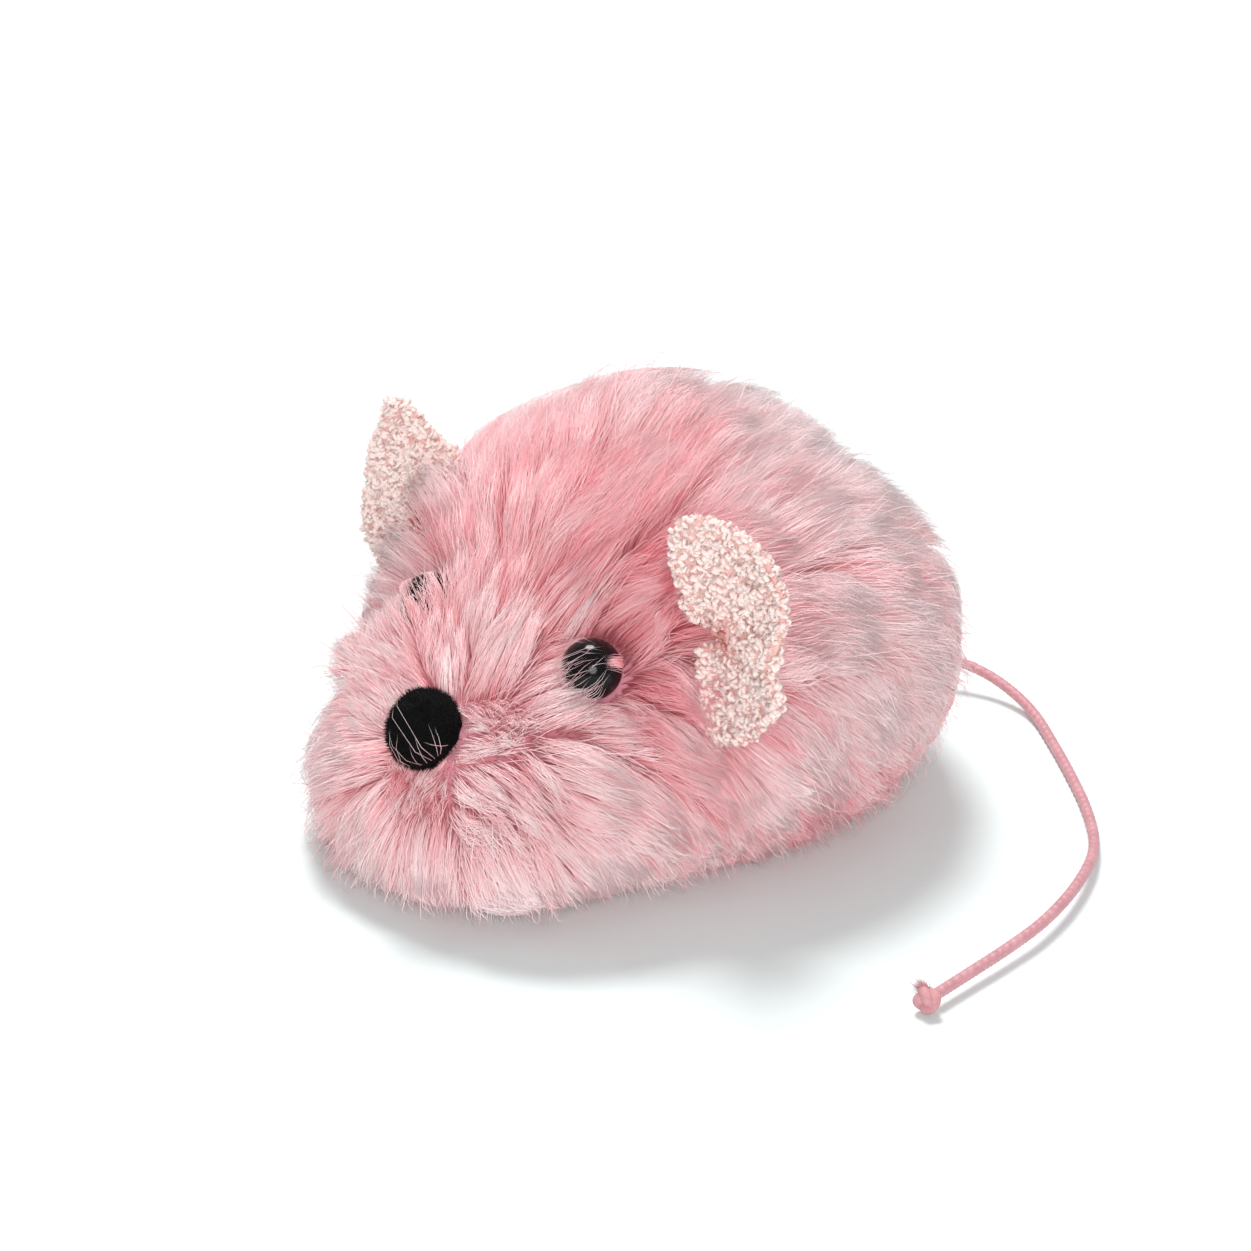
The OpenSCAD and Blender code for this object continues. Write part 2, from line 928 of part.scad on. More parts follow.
fur_coat();
body_shell();
chassis_tray();
left_frame_plate();
right_frame_plate();
frame_pillars();
winding_arbor();
winding_key();
key_bush();
mainspring();
main_wheel();
ratchet_wheel();
click();
click_rivet();
click_spring();
second_arbor();
second_pinion();
second_wheel();
axle_pinion();
drive_axle();
left_wheel_hub();
right_wheel_hub();
left_tyre();
right_tyre();
front_roller();
roller_fork();
roller_pin();
tray_screws();
motor_screws();
nose();
nose_washer();
left_eye();
right_eye();
eye_washers();
left_ear();
right_ear();
tail_grommet();
tail_stop_knot();
tail_cord();
tail_knot();
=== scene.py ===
"""Looks of the clockwork mouse: fur, face, ears, tail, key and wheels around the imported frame."""

import json
import logging
import math
from dataclasses import dataclass
from enum import Enum

import bmesh
import bpy
import numpy as np
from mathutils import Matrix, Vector, noise
from mathutils.bvhtree import BVHTree
from mathutils.kdtree import KDTree


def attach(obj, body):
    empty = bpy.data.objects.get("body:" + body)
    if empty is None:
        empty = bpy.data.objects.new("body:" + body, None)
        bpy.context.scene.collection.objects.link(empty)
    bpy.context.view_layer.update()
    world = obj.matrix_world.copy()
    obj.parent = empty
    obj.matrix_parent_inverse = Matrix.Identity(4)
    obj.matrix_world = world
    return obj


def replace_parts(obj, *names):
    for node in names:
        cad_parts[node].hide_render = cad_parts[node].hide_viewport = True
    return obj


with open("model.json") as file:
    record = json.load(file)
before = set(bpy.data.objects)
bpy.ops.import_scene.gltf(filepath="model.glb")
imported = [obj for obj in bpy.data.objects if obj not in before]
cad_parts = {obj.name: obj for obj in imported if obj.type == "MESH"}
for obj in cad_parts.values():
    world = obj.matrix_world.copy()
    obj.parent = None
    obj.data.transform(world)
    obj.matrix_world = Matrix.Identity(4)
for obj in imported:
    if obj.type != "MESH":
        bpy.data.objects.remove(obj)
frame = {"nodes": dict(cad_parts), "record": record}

logging.basicConfig(level=logging.INFO, format="%(message)s")
log = logging.getLogger("mouse")

MM = 0.001
BODY = "mouse"
TINT_LAYER = "OFBake"
DEPTHS = ("pale", "middle", "deep")
Point = tuple[float, float, float]
Colour = tuple[float, float, float]


class Side(Enum):
    """Side of the mouse, with the sign of its X coordinate."""

    LEFT = 1
    RIGHT = -1

    @property
    def word(self) -> str:
        """Name of the side as node names spell it."""
        return self.name.lower()


class Pattern(Enum):
    """How a finish varies over its surface."""

    GRAIN = "grain"
    BRUSHED = "brushed"


# ---------------------------------------------------------------- mesh helpers


def deselect() -> None:
    """Leave nothing selected and no object in edit mode."""
    if bpy.context.object and bpy.context.object.mode != "OBJECT":
        bpy.ops.object.mode_set(mode="OBJECT")
    bpy.ops.object.select_all(action="DESELECT")


def select_only(obj: bpy.types.Object) -> None:
    """Make one object the selected and active one.

    Args:
        obj: The object to select.
    """
    deselect()
    obj.select_set(True)
    bpy.context.view_layer.objects.active = obj


def settle(obj: bpy.types.Object, name: str) -> bpy.types.Object:
    """Name an object and put its place, turn and scale into its mesh.

    Args:
        obj: The object to finish.
        name: Its name, also given to its mesh.

    Returns:
        The same object, at the origin.
    """
    select_only(obj)
    obj.name = name
    obj.data.name = name
    bpy.ops.object.transform_apply(location=True, rotation=True, scale=True)
    return obj


def modify(obj: bpy.types.Object, kind: str, **settings: object) -> None:
    """Add a modifier and apply it.

    Args:
        obj: The object to change.
        kind: Blender's name for the modifier.
        **settings: The modifier's own settings.
    """
    select_only(obj)
    made = obj.modifiers.new(kind.lower(), kind)
    for key, value in settings.items():
        setattr(made, key, value)
    bpy.ops.object.modifier_apply(modifier=made.name)


def smooth(obj: bpy.types.Object, degrees: float = 40) -> None:
    """Shade smooth across edges flatter than an angle.

    Args:
        obj: The object to shade.
        degrees: The sharpest edge that is still smoothed.
    """
    select_only(obj)
    bpy.ops.object.shade_smooth_by_angle(angle=math.radians(degrees))


def from_arrays(
    name: str, points: np.ndarray, faces: np.ndarray, starts: np.ndarray | None = None
) -> bpy.types.Object:
    """Make a smooth mesh object from arrays.

    Args:
        name: Name of the object and its mesh.
        points: Vertex places, one row each, in metres.
        faces: Vertex numbers, one row per face, or all in one line with `starts`.
        starts: First entry of each face in `faces` where faces differ in size.

    Returns:
        The object, linked to the scene.
    """
    mesh = bpy.data.meshes.new(name)
    loops = faces.ravel()
    if starts is None:
        starts = np.arange(len(faces)) * faces.shape[1]
    mesh.vertices.add(len(points))
    mesh.vertices.foreach_set("co", points.astype(np.float32).ravel())
    mesh.loops.add(len(loops))
    mesh.loops.foreach_set("vertex_index", loops.astype(np.int32))
    mesh.polygons.add(len(starts))
    mesh.polygons.foreach_set("loop_start", starts.astype(np.int32))
    mesh.update(calc_edges=True)
    mesh.validate()
    mesh.polygons.foreach_set("use_smooth", np.ones(len(mesh.polygons), bool))
    obj = bpy.data.objects.new(name, mesh)
    bpy.context.scene.collection.objects.link(obj)
    return obj


def unit(vectors: np.ndarray) -> np.ndarray:
    """Vectors scaled to length one, row by row."""
    return vectors / np.maximum(np.linalg.norm(vectors, axis=-1, keepdims=True), 1e-12)


def ramp(value: np.ndarray, low: float, high: float) -> np.ndarray:
    """Smooth step from 0 at `low` to 1 at `high`."""
    t = np.clip((value - low) / (high - low), 0, 1)
    return t * t * (3 - 2 * t)


def wander(points: np.ndarray, scale: float, seed: float) -> np.ndarray:
    """Smooth random vectors in space.

    Args:
        points: Where to read the field, in metres.
        scale: Distance over which the field changes, in metres.
        seed: Offset that picks another field.

    Returns:
        One vector per point, each part from about -1 to 1.
    """
    at = points / scale + seed
    return np.array([noise.noise_vector(Vector(p)) for p in at])


def wire(line: np.ndarray, radius: np.ndarray, sides: int) -> tuple[np.ndarray, np.ndarray]:
    """Points and side faces of a tube round a line.

    Args:
        line: Points along the tube.
        radius: Radius at each point, or one row of radii per point, one for each side.
        sides: Points round the tube.

    Returns:
        Vertex places and quads, with the ends open.
    """
    way = unit(np.gradient(line, axis=0))
    up = np.array([0.0, 0.0, 1.0])
    side = unit(np.cross(way, up) + 1e-9)
    over = np.cross(way, side)
    turn = np.linspace(0, 2 * math.pi, sides, endpoint=False)
    radii = np.broadcast_to(np.asarray(radius).reshape(len(line), -1), (len(line), sides))
    rings = line[:, None] + radii[..., None] * (
        np.cos(turn)[None, :, None] * side[:, None] + np.sin(turn)[None, :, None] * over[:, None]
    )
    i, k = np.meshgrid(np.arange(len(line) - 1), np.arange(sides), indexing="ij")
    a, b = i * sides + k, i * sides + (k + 1) % sides
    quads = np.stack([a, b, b + sides, a + sides], -1).reshape(-1, 4)
    return rings.reshape(-1, 3), quads


# ---------------------------------------------------------------- finishes


class Groups:
    """Shader node groups that several finishes share, each made once."""

    @staticmethod
    def start(name: str, inputs: dict[str, str], outputs: dict[str, str]) -> tuple:
        """Make an empty group with its sockets.

        Args:
            name: Name of the group.
            inputs: Each socket that goes in, with its type.
            outputs: Each socket that comes out, with its type.

        Returns:
            The tree, its input node and its output node.
        """
        tree = bpy.data.node_groups.new(name, "ShaderNodeTree")
        for way, sockets in (("INPUT", inputs), ("OUTPUT", outputs)):
            for key, kind in sockets.items():
                tree.interface.new_socket(key, in_out=way, socket_type=f"NodeSocket{kind}")
        return tree, tree.nodes.new("NodeGroupInput"), tree.nodes.new("NodeGroupOutput")

    @staticmethod
    def sums(tree: bpy.types.NodeTree, operation: str, *values: object) -> bpy.types.NodeSocket:
        """Add a Math node.

        Args:
            tree: The tree that gets the node.
            operation: What the node works out.
            *values: A number or another node's socket for each of its inputs.

        Returns:
            The node's result.
        """
        node = tree.nodes.new("ShaderNodeMath")
        node.operation = operation
        for socket, value in zip(node.inputs, values):
            if isinstance(value, bpy.types.NodeSocket):
                tree.links.new(value, socket)
            else:
                socket.default_value = value
        return node.outputs[0]

    @staticmethod
    def blend(tree: bpy.types.NodeTree, share: object, one: object, two: object) -> object:
        """Add a colour Mix node.

        Args:
            tree: The tree that gets the node.
            share: Socket with the share of the second colour.
            one: Socket with the first colour.
            two: Socket with the second colour.

        Returns:
            The mixed colour's socket.
        """
        node = tree.nodes.new("ShaderNodeMix")
        node.data_type = "RGBA"
        for number, socket in ((0, share), (6, one), (7, two)):
            tree.links.new(socket, node.inputs[number])
        return node.outputs[2]

    @classmethod
    def fibre(cls) -> bpy.types.NodeTree:
        """The group that dyes fibres.

        Returns:
            The group's tree: Dye, with depth in X and the way along in Y, and six shades go
            in, Colour comes out.
        """
        known = bpy.data.node_groups.get("fibre_dye")
        if known:
            return known
        shades = {f"{end} {depth}": "Color" for end in ("Root", "Tip") for depth in DEPTHS}
        tree, inputs, outputs = cls.start("fibre_dye", {"Dye": "Vector"} | shades, {"Colour": "Color"})
        parts = tree.nodes.new("ShaderNodeSeparateXYZ")
        tree.links.new(inputs.outputs["Dye"], parts.inputs[0])
        low = cls.sums(tree, "MULTIPLY", parts.outputs["X"], 2.0)
        low.node.use_clamp = True
        high = cls.sums(tree, "MULTIPLY_ADD", parts.outputs["X"], 2.0, -1.0)
        high.node.use_clamp = True
        ends = []
        for end in ("Root", "Tip"):
            pale, middle, deep = (inputs.outputs[f"{end} {depth}"] for depth in DEPTHS)
            ends.append(cls.blend(tree, high, cls.blend(tree, low, pale, middle), deep))
        along = tree.nodes.new("ShaderNodeMapRange")
        along.interpolation_type = "SMOOTHSTEP"
        along.inputs["From Min"].default_value = 0.05
        along.inputs["From Max"].default_value = 0.95
        tree.links.new(parts.outputs["Y"], along.inputs["Value"])
        colour = cls.blend(tree, along.outputs["Result"], *ends)
        tree.links.new(colour, outputs.inputs["Colour"])
        return tree

    @classmethod
    def get(cls, pattern: Pattern) -> bpy.types.NodeTree:
        """The group for a pattern.

        Args:
            pattern: Which pattern.

        Returns:
            The group's tree: Scale and Contrast go in, Mask and Height come out.
        """
        known = bpy.data.node_groups.get(pattern.value)
        if known:
            return known
        tree, inputs, outputs = cls.start(
            pattern.value,
            {"Scale": "Float", "Contrast": "Float"},
            {"Mask": "Float", "Height": "Float"},
        )
        link = tree.links.new
        place = tree.nodes.new("ShaderNodeTexCoord")
        stretch = tree.nodes.new("ShaderNodeMapping")
        stretch.inputs["Scale"].default_value = (0.08, 1, 1) if pattern is Pattern.BRUSHED else (1, 1, 1)
        fine, broad = tree.nodes.new("ShaderNodeTexNoise"), tree.nodes.new("ShaderNodeTexNoise")
        fine.inputs["Detail"].default_value = 5
        link(place.outputs["Object"], stretch.inputs["Vector"])
        link(stretch.outputs["Vector"], fine.inputs["Vector"])
        link(place.outputs["Object"], broad.inputs["Vector"])
        link(inputs.outputs["Scale"], fine.inputs["Scale"])
        link(cls.sums(tree, "MULTIPLY", inputs.outputs["Scale"], 0.12), broad.inputs["Scale"])
        both = cls.sums(tree, "ADD", fine.outputs["Fac"], broad.outputs["Fac"])
        shift = cls.sums(tree, "MULTIPLY_ADD", inputs.outputs["Contrast"], -1.0, 0.5)
        mask = cls.sums(tree, "MULTIPLY_ADD", both, inputs.outputs["Contrast"], shift)
        mask.node.use_clamp = True
        link(mask, outputs.inputs["Mask"])
        link(fine.outputs["Fac"], outputs.inputs["Height"])
        return tree


@dataclass(frozen=True)
class Finish:
    """A surface finish: two colours, gloss and the pattern between them."""

    name: str
    dark: Colour
    light: Colour
    roughness: float = 0.5
    rough_spread: float = 0.1
    metallic: float = 0.0
    coat: float = 0.0
    sheen: float = 0.0
    pattern: Pattern = Pattern.GRAIN
    scale: float = 1500.0
    contrast: float = 0.8
    bump: float = 0.1
    bump_depth: float = 0.05 * MM
    specular: float = 0.5

    def material(self) -> bpy.types.Material:
        """Build the material, or fetch it if another piece already uses it.

        Returns:
            The material.
        """
        known = bpy.data.materials.get(self.name)
        if known:
            return known
        made = bpy.data.materials.new(self.name)
        made.use_nodes = True
        nodes, link = made.node_tree.nodes, made.node_tree.links.new
        shader = nodes["Principled BSDF"]
        shader.inputs["Metallic"].default_value = self.metallic
        shader.inputs["Coat Weight"].default_value = self.coat
        shader.inputs["Coat Roughness"].default_value = 0.05
        shader.inputs["Sheen Weight"].default_value = self.sheen
        shader.inputs["Specular IOR Level"].default_value = self.specular
        group = nodes.new("ShaderNodeGroup")
        group.node_tree = Groups.get(self.pattern)
        group.inputs["Scale"].default_value = self.scale
        group.inputs["Contrast"].default_value = self.contrast
        colour = nodes.new("ShaderNodeMix")
        colour.data_type = "RGBA"
        colour.inputs[6].default_value = (*self.dark, 1)
        colour.inputs[7].default_value = (*self.light, 1)
        link(group.outputs["Mask"], colour.inputs[0])
        link(colour.outputs[2], shader.inputs["Base Color"])
        rough = nodes.new("ShaderNodeMapRange")
        rough.inputs["To Min"].default_value = max(0.02, self.roughness - self.rough_spread)
        rough.inputs["To Max"].default_value = min(1.0, self.roughness + self.rough_spread)
        link(group.outputs["Mask"], rough.inputs["Value"])
        link(rough.outputs["Result"], shader.inputs["Roughness"])
        bump = nodes.new("ShaderNodeBump")
        bump.inputs["Strength"].default_value = self.bump
        bump.inputs["Distance"].default_value = self.bump_depth
        link(group.outputs["Height"], bump.inputs["Height"])
        link(bump.outputs["Normal"], shader.inputs["Normal"])
        return made

    def put_on(self, *pieces: bpy.types.Object) -> None:
        """Dress pieces in this finish.

        Args:
            *pieces: The pieces, new ones or CAD nodes.
        """
        for piece in pieces:
            piece.data.materials.clear()
            piece.data.materials.append(self.material())


@dataclass(frozen=True)
class FibreFinish:
    """Dyed fibre: U of the tint layer picks the shade and V runs from root to tip. The colour is also
    emitted as a painted glow that stands in for light passing through the fibres.
    """

    name: str
    root: tuple[Colour, Colour, Colour]
    tip: tuple[Colour, Colour, Colour]
    roughness: float
    sheen: float
    specular: float
    painted_glow: float = 0.0

    def material(self) -> bpy.types.Material:
        """Build the material, or fetch it if another piece already uses it.

        Returns:
            The material.
        """
        known = bpy.data.materials.get(self.name)
        if known:
            return known
        made = bpy.data.materials.new(self.name)
        made.use_nodes = True
        nodes, link = made.node_tree.nodes, made.node_tree.links.new
        shader = nodes["Principled BSDF"]
        shader.inputs["Roughness"].default_value = self.roughness
        shader.inputs["Sheen Weight"].default_value = self.sheen
        shader.inputs["Specular IOR Level"].default_value = self.specular
        layer = nodes.new("ShaderNodeUVMap")
        layer.uv_map = TINT_LAYER
        dye = nodes.new("ShaderNodeGroup")
        dye.node_tree = Groups.fibre()
        link(layer.outputs["UV"], dye.inputs["Dye"])
        for end, shades in (("Root", self.root), ("Tip", self.tip)):
            for depth, shade in zip(DEPTHS, shades):
                dye.inputs[f"{end} {depth}"].default_value = (*shade, 1)
        link(dye.outputs["Colour"], shader.inputs["Base Color"])
        # Painted glow: the fibre's own colour is emitted, standing in for light that passes through the
        # fibres.
        link(dye.outputs["Colour"], shader.inputs["Emission Color"])
        shader.inputs["Emission Strength"].default_value = self.painted_glow
        return made

    def put_on(self, *pieces: bpy.types.Object) -> None:
        """Dress pieces in this finish.

        Args:
            *pieces: The pieces, each with a tint layer.
        """
        for piece in pieces:
            piece.data.materials.clear()
            piece.data.materials.append(self.material())


# Painted glow on both fibre finishes below: emission that stands in for light passing through the fibres.
PILE = FibreFinish(
    "pink_pile",
    root=((0.93, 0.59, 0.61), (0.88, 0.38, 0.41), (0.80, 0.20, 0.25)),
    tip=((0.98, 0.83, 0.84), (0.96, 0.62, 0.64), (0.92, 0.38, 0.43)),
    roughness=0.48,
    sheen=0.0,
    specular=0.28,
    painted_glow=0.09,
)
TERRY = FibreFinish(
    "ear_loops",
    # The deep shades are reached only near the pinched root, where they paint the shade of its hollow.
    root=((0.88, 0.63, 0.59), (0.86, 0.53, 0.49), (0.42, 0.08, 0.08)),
    tip=((0.90, 0.77, 0.73), (0.89, 0.71, 0.68), (0.62, 0.24, 0.22)),
    roughness=0.85,
    sheen=0.0,
    specular=0.12,
    painted_glow=0.05,
)
BACKING = Finish("fur_backing", (0.62, 0.22, 0.28), (0.78, 0.36, 0.42), 0.9, sheen=0.2, bump=0.4)
EAR_CLOTH = Finish("ear_cloth", (0.82, 0.42, 0.38), (0.91, 0.62, 0.57), 0.9, sheen=0.3, bump=0.5)
NOSE_CORE = Finish("nose_core", (0.002, 0.002, 0.002), (0.006, 0.006, 0.006), 0.9, specular=0.1)
FLOCK = Finish(
    "flock_fibre", (0.002, 0.002, 0.002), (0.014, 0.013, 0.014), 0.7, scale=2600, contrast=1.6, specular=0.12
)
BEAD = Finish("eye_bead", (0.002, 0.002, 0.003), (0.005, 0.005, 0.006), 0.14, 0.04, bump=0.0, specular=0.2)
COTTON = Finish(
    "waxed_cotton", (0.46, 0.18, 0.21), (0.70, 0.37, 0.40), 0.5, sheen=0.1, bump=0.3, scale=2600
)
KNOT_COTTON = Finish(
    "knot_cotton", (0.46, 0.17, 0.19), (0.74, 0.40, 0.42), 0.75, sheen=0.1, bump=0.4, scale=2600
)
GROMMET = Finish("soft_grommet", (0.70, 0.22, 0.32), (0.78, 0.28, 0.38), 0.4)
SHELL = Finish("moulded_shell", (0.80, 0.62, 0.60), (0.86, 0.70, 0.68), 0.45, scale=900)
TRAY = Finish("moulded_tray", (0.62, 0.60, 0.58), (0.72, 0.70, 0.68), 0.38, scale=1200, bump=0.15)
WHEEL = Finish("ivory_hub", (0.78, 0.77, 0.74), (0.85, 0.84, 0.82), 0.35, scale=1200)
RUBBER = Finish("black_tyre", (0.025, 0.025, 0.027), (0.06, 0.06, 0.063), 0.75, bump=0.3)
FRAME_STEEL = Finish(
    "rolled_steel", (0.50, 0.51, 0.53), (0.68, 0.69, 0.71), 0.35, metallic=1, pattern=Pattern.BRUSHED
)
BRIGHT_STEEL = Finish(
    "ground_steel", (0.62, 0.62, 0.63), (0.80, 0.80, 0.81), 0.22, metallic=1, pattern=Pattern.BRUSHED
)
SPRING_STEEL = Finish("blued_steel", (0.16, 0.18, 0.24), (0.30, 0.32, 0.38), 0.3, metallic=1)
BRASS = Finish("yellow_brass", (0.62, 0.42, 0.14), (0.80, 0.58, 0.24), 0.28, metallic=1)
NICKEL = Finish("nickel_plate", (0.62, 0.60, 0.56), (0.78, 0.76, 0.72), 0.2, metallic=1, bump=0.05)
BY_SLOT = {
    "shell_plastic": SHELL,
    "tray_plastic": TRAY,
    "frame_steel": FRAME_STEEL,
    "brass": BRASS,
    "bright_steel": BRIGHT_STEEL,
    "nickel": NICKEL,
    "spring_steel": SPRING_STEEL,
    "wheel_plastic": WHEEL,
    "tyre_rubber": RUBBER,
    "grommet_plastic": GROMMET,
    "tail_cotton": KNOT_COTTON,
}


# ---------------------------------------------------------------- camera and light


@dataclass
class Studio:
    """Camera, floor and lights."""

    azimuth: float = 43
    elevation: float = 26
    distance: float = 0.48
    lens: float = 99.6
    rise: float = 0.0264
    aim: Point = (0, 0, 0.022)
    floor_size: float = 6

    def camera(self) -> None:
        """Stand the camera before the mouse's left cheek."""
        turn, tilt = math.radians(self.azimuth), math.radians(self.elevation)
        back = Vector(
            (math.sin(turn) * math.cos(tilt), -math.cos(turn) * math.cos(tilt), math.sin(tilt))
        )
        data = bpy.data.cameras.new("camera")
        data.lens = self.lens
        data.shift_y = self.rise
        data.clip_start = 0.01
        made = bpy.data.objects.new("camera", data)
        made.location = Vector(self.aim) + back * self.distance
        made.rotation_euler = (-back).to_track_quat("-Z", "Y").to_euler()
        bpy.context.scene.collection.objects.link(made)
        bpy.context.scene.camera = made

    def floor(self) -> None:
        """Lay a matt white floor, which isn't part of the mouse."""
        deselect()
        bpy.ops.mesh.primitive_plane_add(size=self.floor_size, location=(0, 0, 0))
        plane = settle(bpy.context.object, "floor")
        Finish("floor_paper", (0.84, 0.925, 0.92), (0.86, 0.945, 0.94), 0.9, specular=0.1).put_on(plane)

    def lamp(self, name: str, place: Point, size: float, power: float) -> None:
        """Hang a round soft light that faces the mouse.

        Args:
            name: Name of the light.
            place: Where it hangs.
            size: Diameter of the light.
            power: Its power in watts.
        """
        data = bpy.data.lights.new(name, "AREA")
        data.shape, data.size, data.energy = "DISK", size, power
        made = bpy.data.objects.new(name, data)
        made.location = place
        made.rotation_euler = (Vector(self.aim) - Vector(place)).to_track_quat("-Z", "Y").to_euler()
        bpy.context.scene.collection.objects.link(made)

    def light(self) -> None:
        """Light the set with an even surround, a key lamp above and behind, and a fill."""
        scene = bpy.context.scene
        scene.view_settings.view_transform = "Standard"
        world = bpy.data.worlds.new("surround")
        world.use_nodes = True
        world.node_tree.nodes["Background"].inputs["Color"].default_value = (1, 1, 1, 1)
        world.node_tree.nodes["Background"].inputs["Strength"].default_value = 0.37
        scene.world = world
        self.lamp("key", (-0.30, 0.22, 0.85), 0.36, 7.5)
        self.lamp("fill", (0.68, -0.60, 0.42), 0.5, 5.7)


# ---------------------------------------------------------------- the furred form


@dataclass(frozen=True)
class BodyForm:
    """Convex form through a rump and a head ellipsoid, in millimetres."""

    rump_at: Point
    rump_size: Point
    head_at: Point
    head_size: Point
    segments: int = 96

    def build(self, name: str, grow: float = 0) -> bpy.types.Object:
        """Model the form as the hull of two scaled spheres.

        Args:
            name: Name of the object.
            grow: Distance added to every half size, in millimetres.

        Returns:
            The closed form.
        """
        deselect()
        balls = []
        for at, size in ((self.rump_at, self.rump_size), (self.head_at, self.head_size)):
            bpy.ops.mesh.primitive_uv_sphere_add(
                segments=self.segments, ring_count=self.segments // 2, radius=1
            )
            ball = bpy.context.object
            ball.location = Vector(at) * MM
            ball.scale = (Vector(size) + Vector((grow,) * 3)) * MM
            balls.append(ball)
        for ball in balls:
            ball.select_set(True)
        bpy.ops.object.join()
        made = settle(bpy.context.object, name)
        bpy.ops.object.mode_set(mode="EDIT")
        bpy.ops.mesh.select_all(action="SELECT")
        bpy.ops.mesh.convex_hull(join_triangles=False)
        bpy.ops.mesh.normals_make_consistent(inside=False)
        bpy.ops.object.mode_set(mode="OBJECT")
        return made


@dataclass(frozen=True)
class Zone:
    """A ball of skin where the pile is deeper in dye, darker as painted shade, or taller by a share, in
    millimetres.
    """

    at: Point
    reach: float
    change: float

    def share(self, place: np.ndarray) -> np.ndarray:
        """The zone's change at each place, fading from its centre.

        Args:
            place: Places in millimetres.

        Returns:
            One number per place.
        """
        return self.change * np.exp(-((np.linalg.norm(place - self.at, axis=1) / self.reach) ** 2))


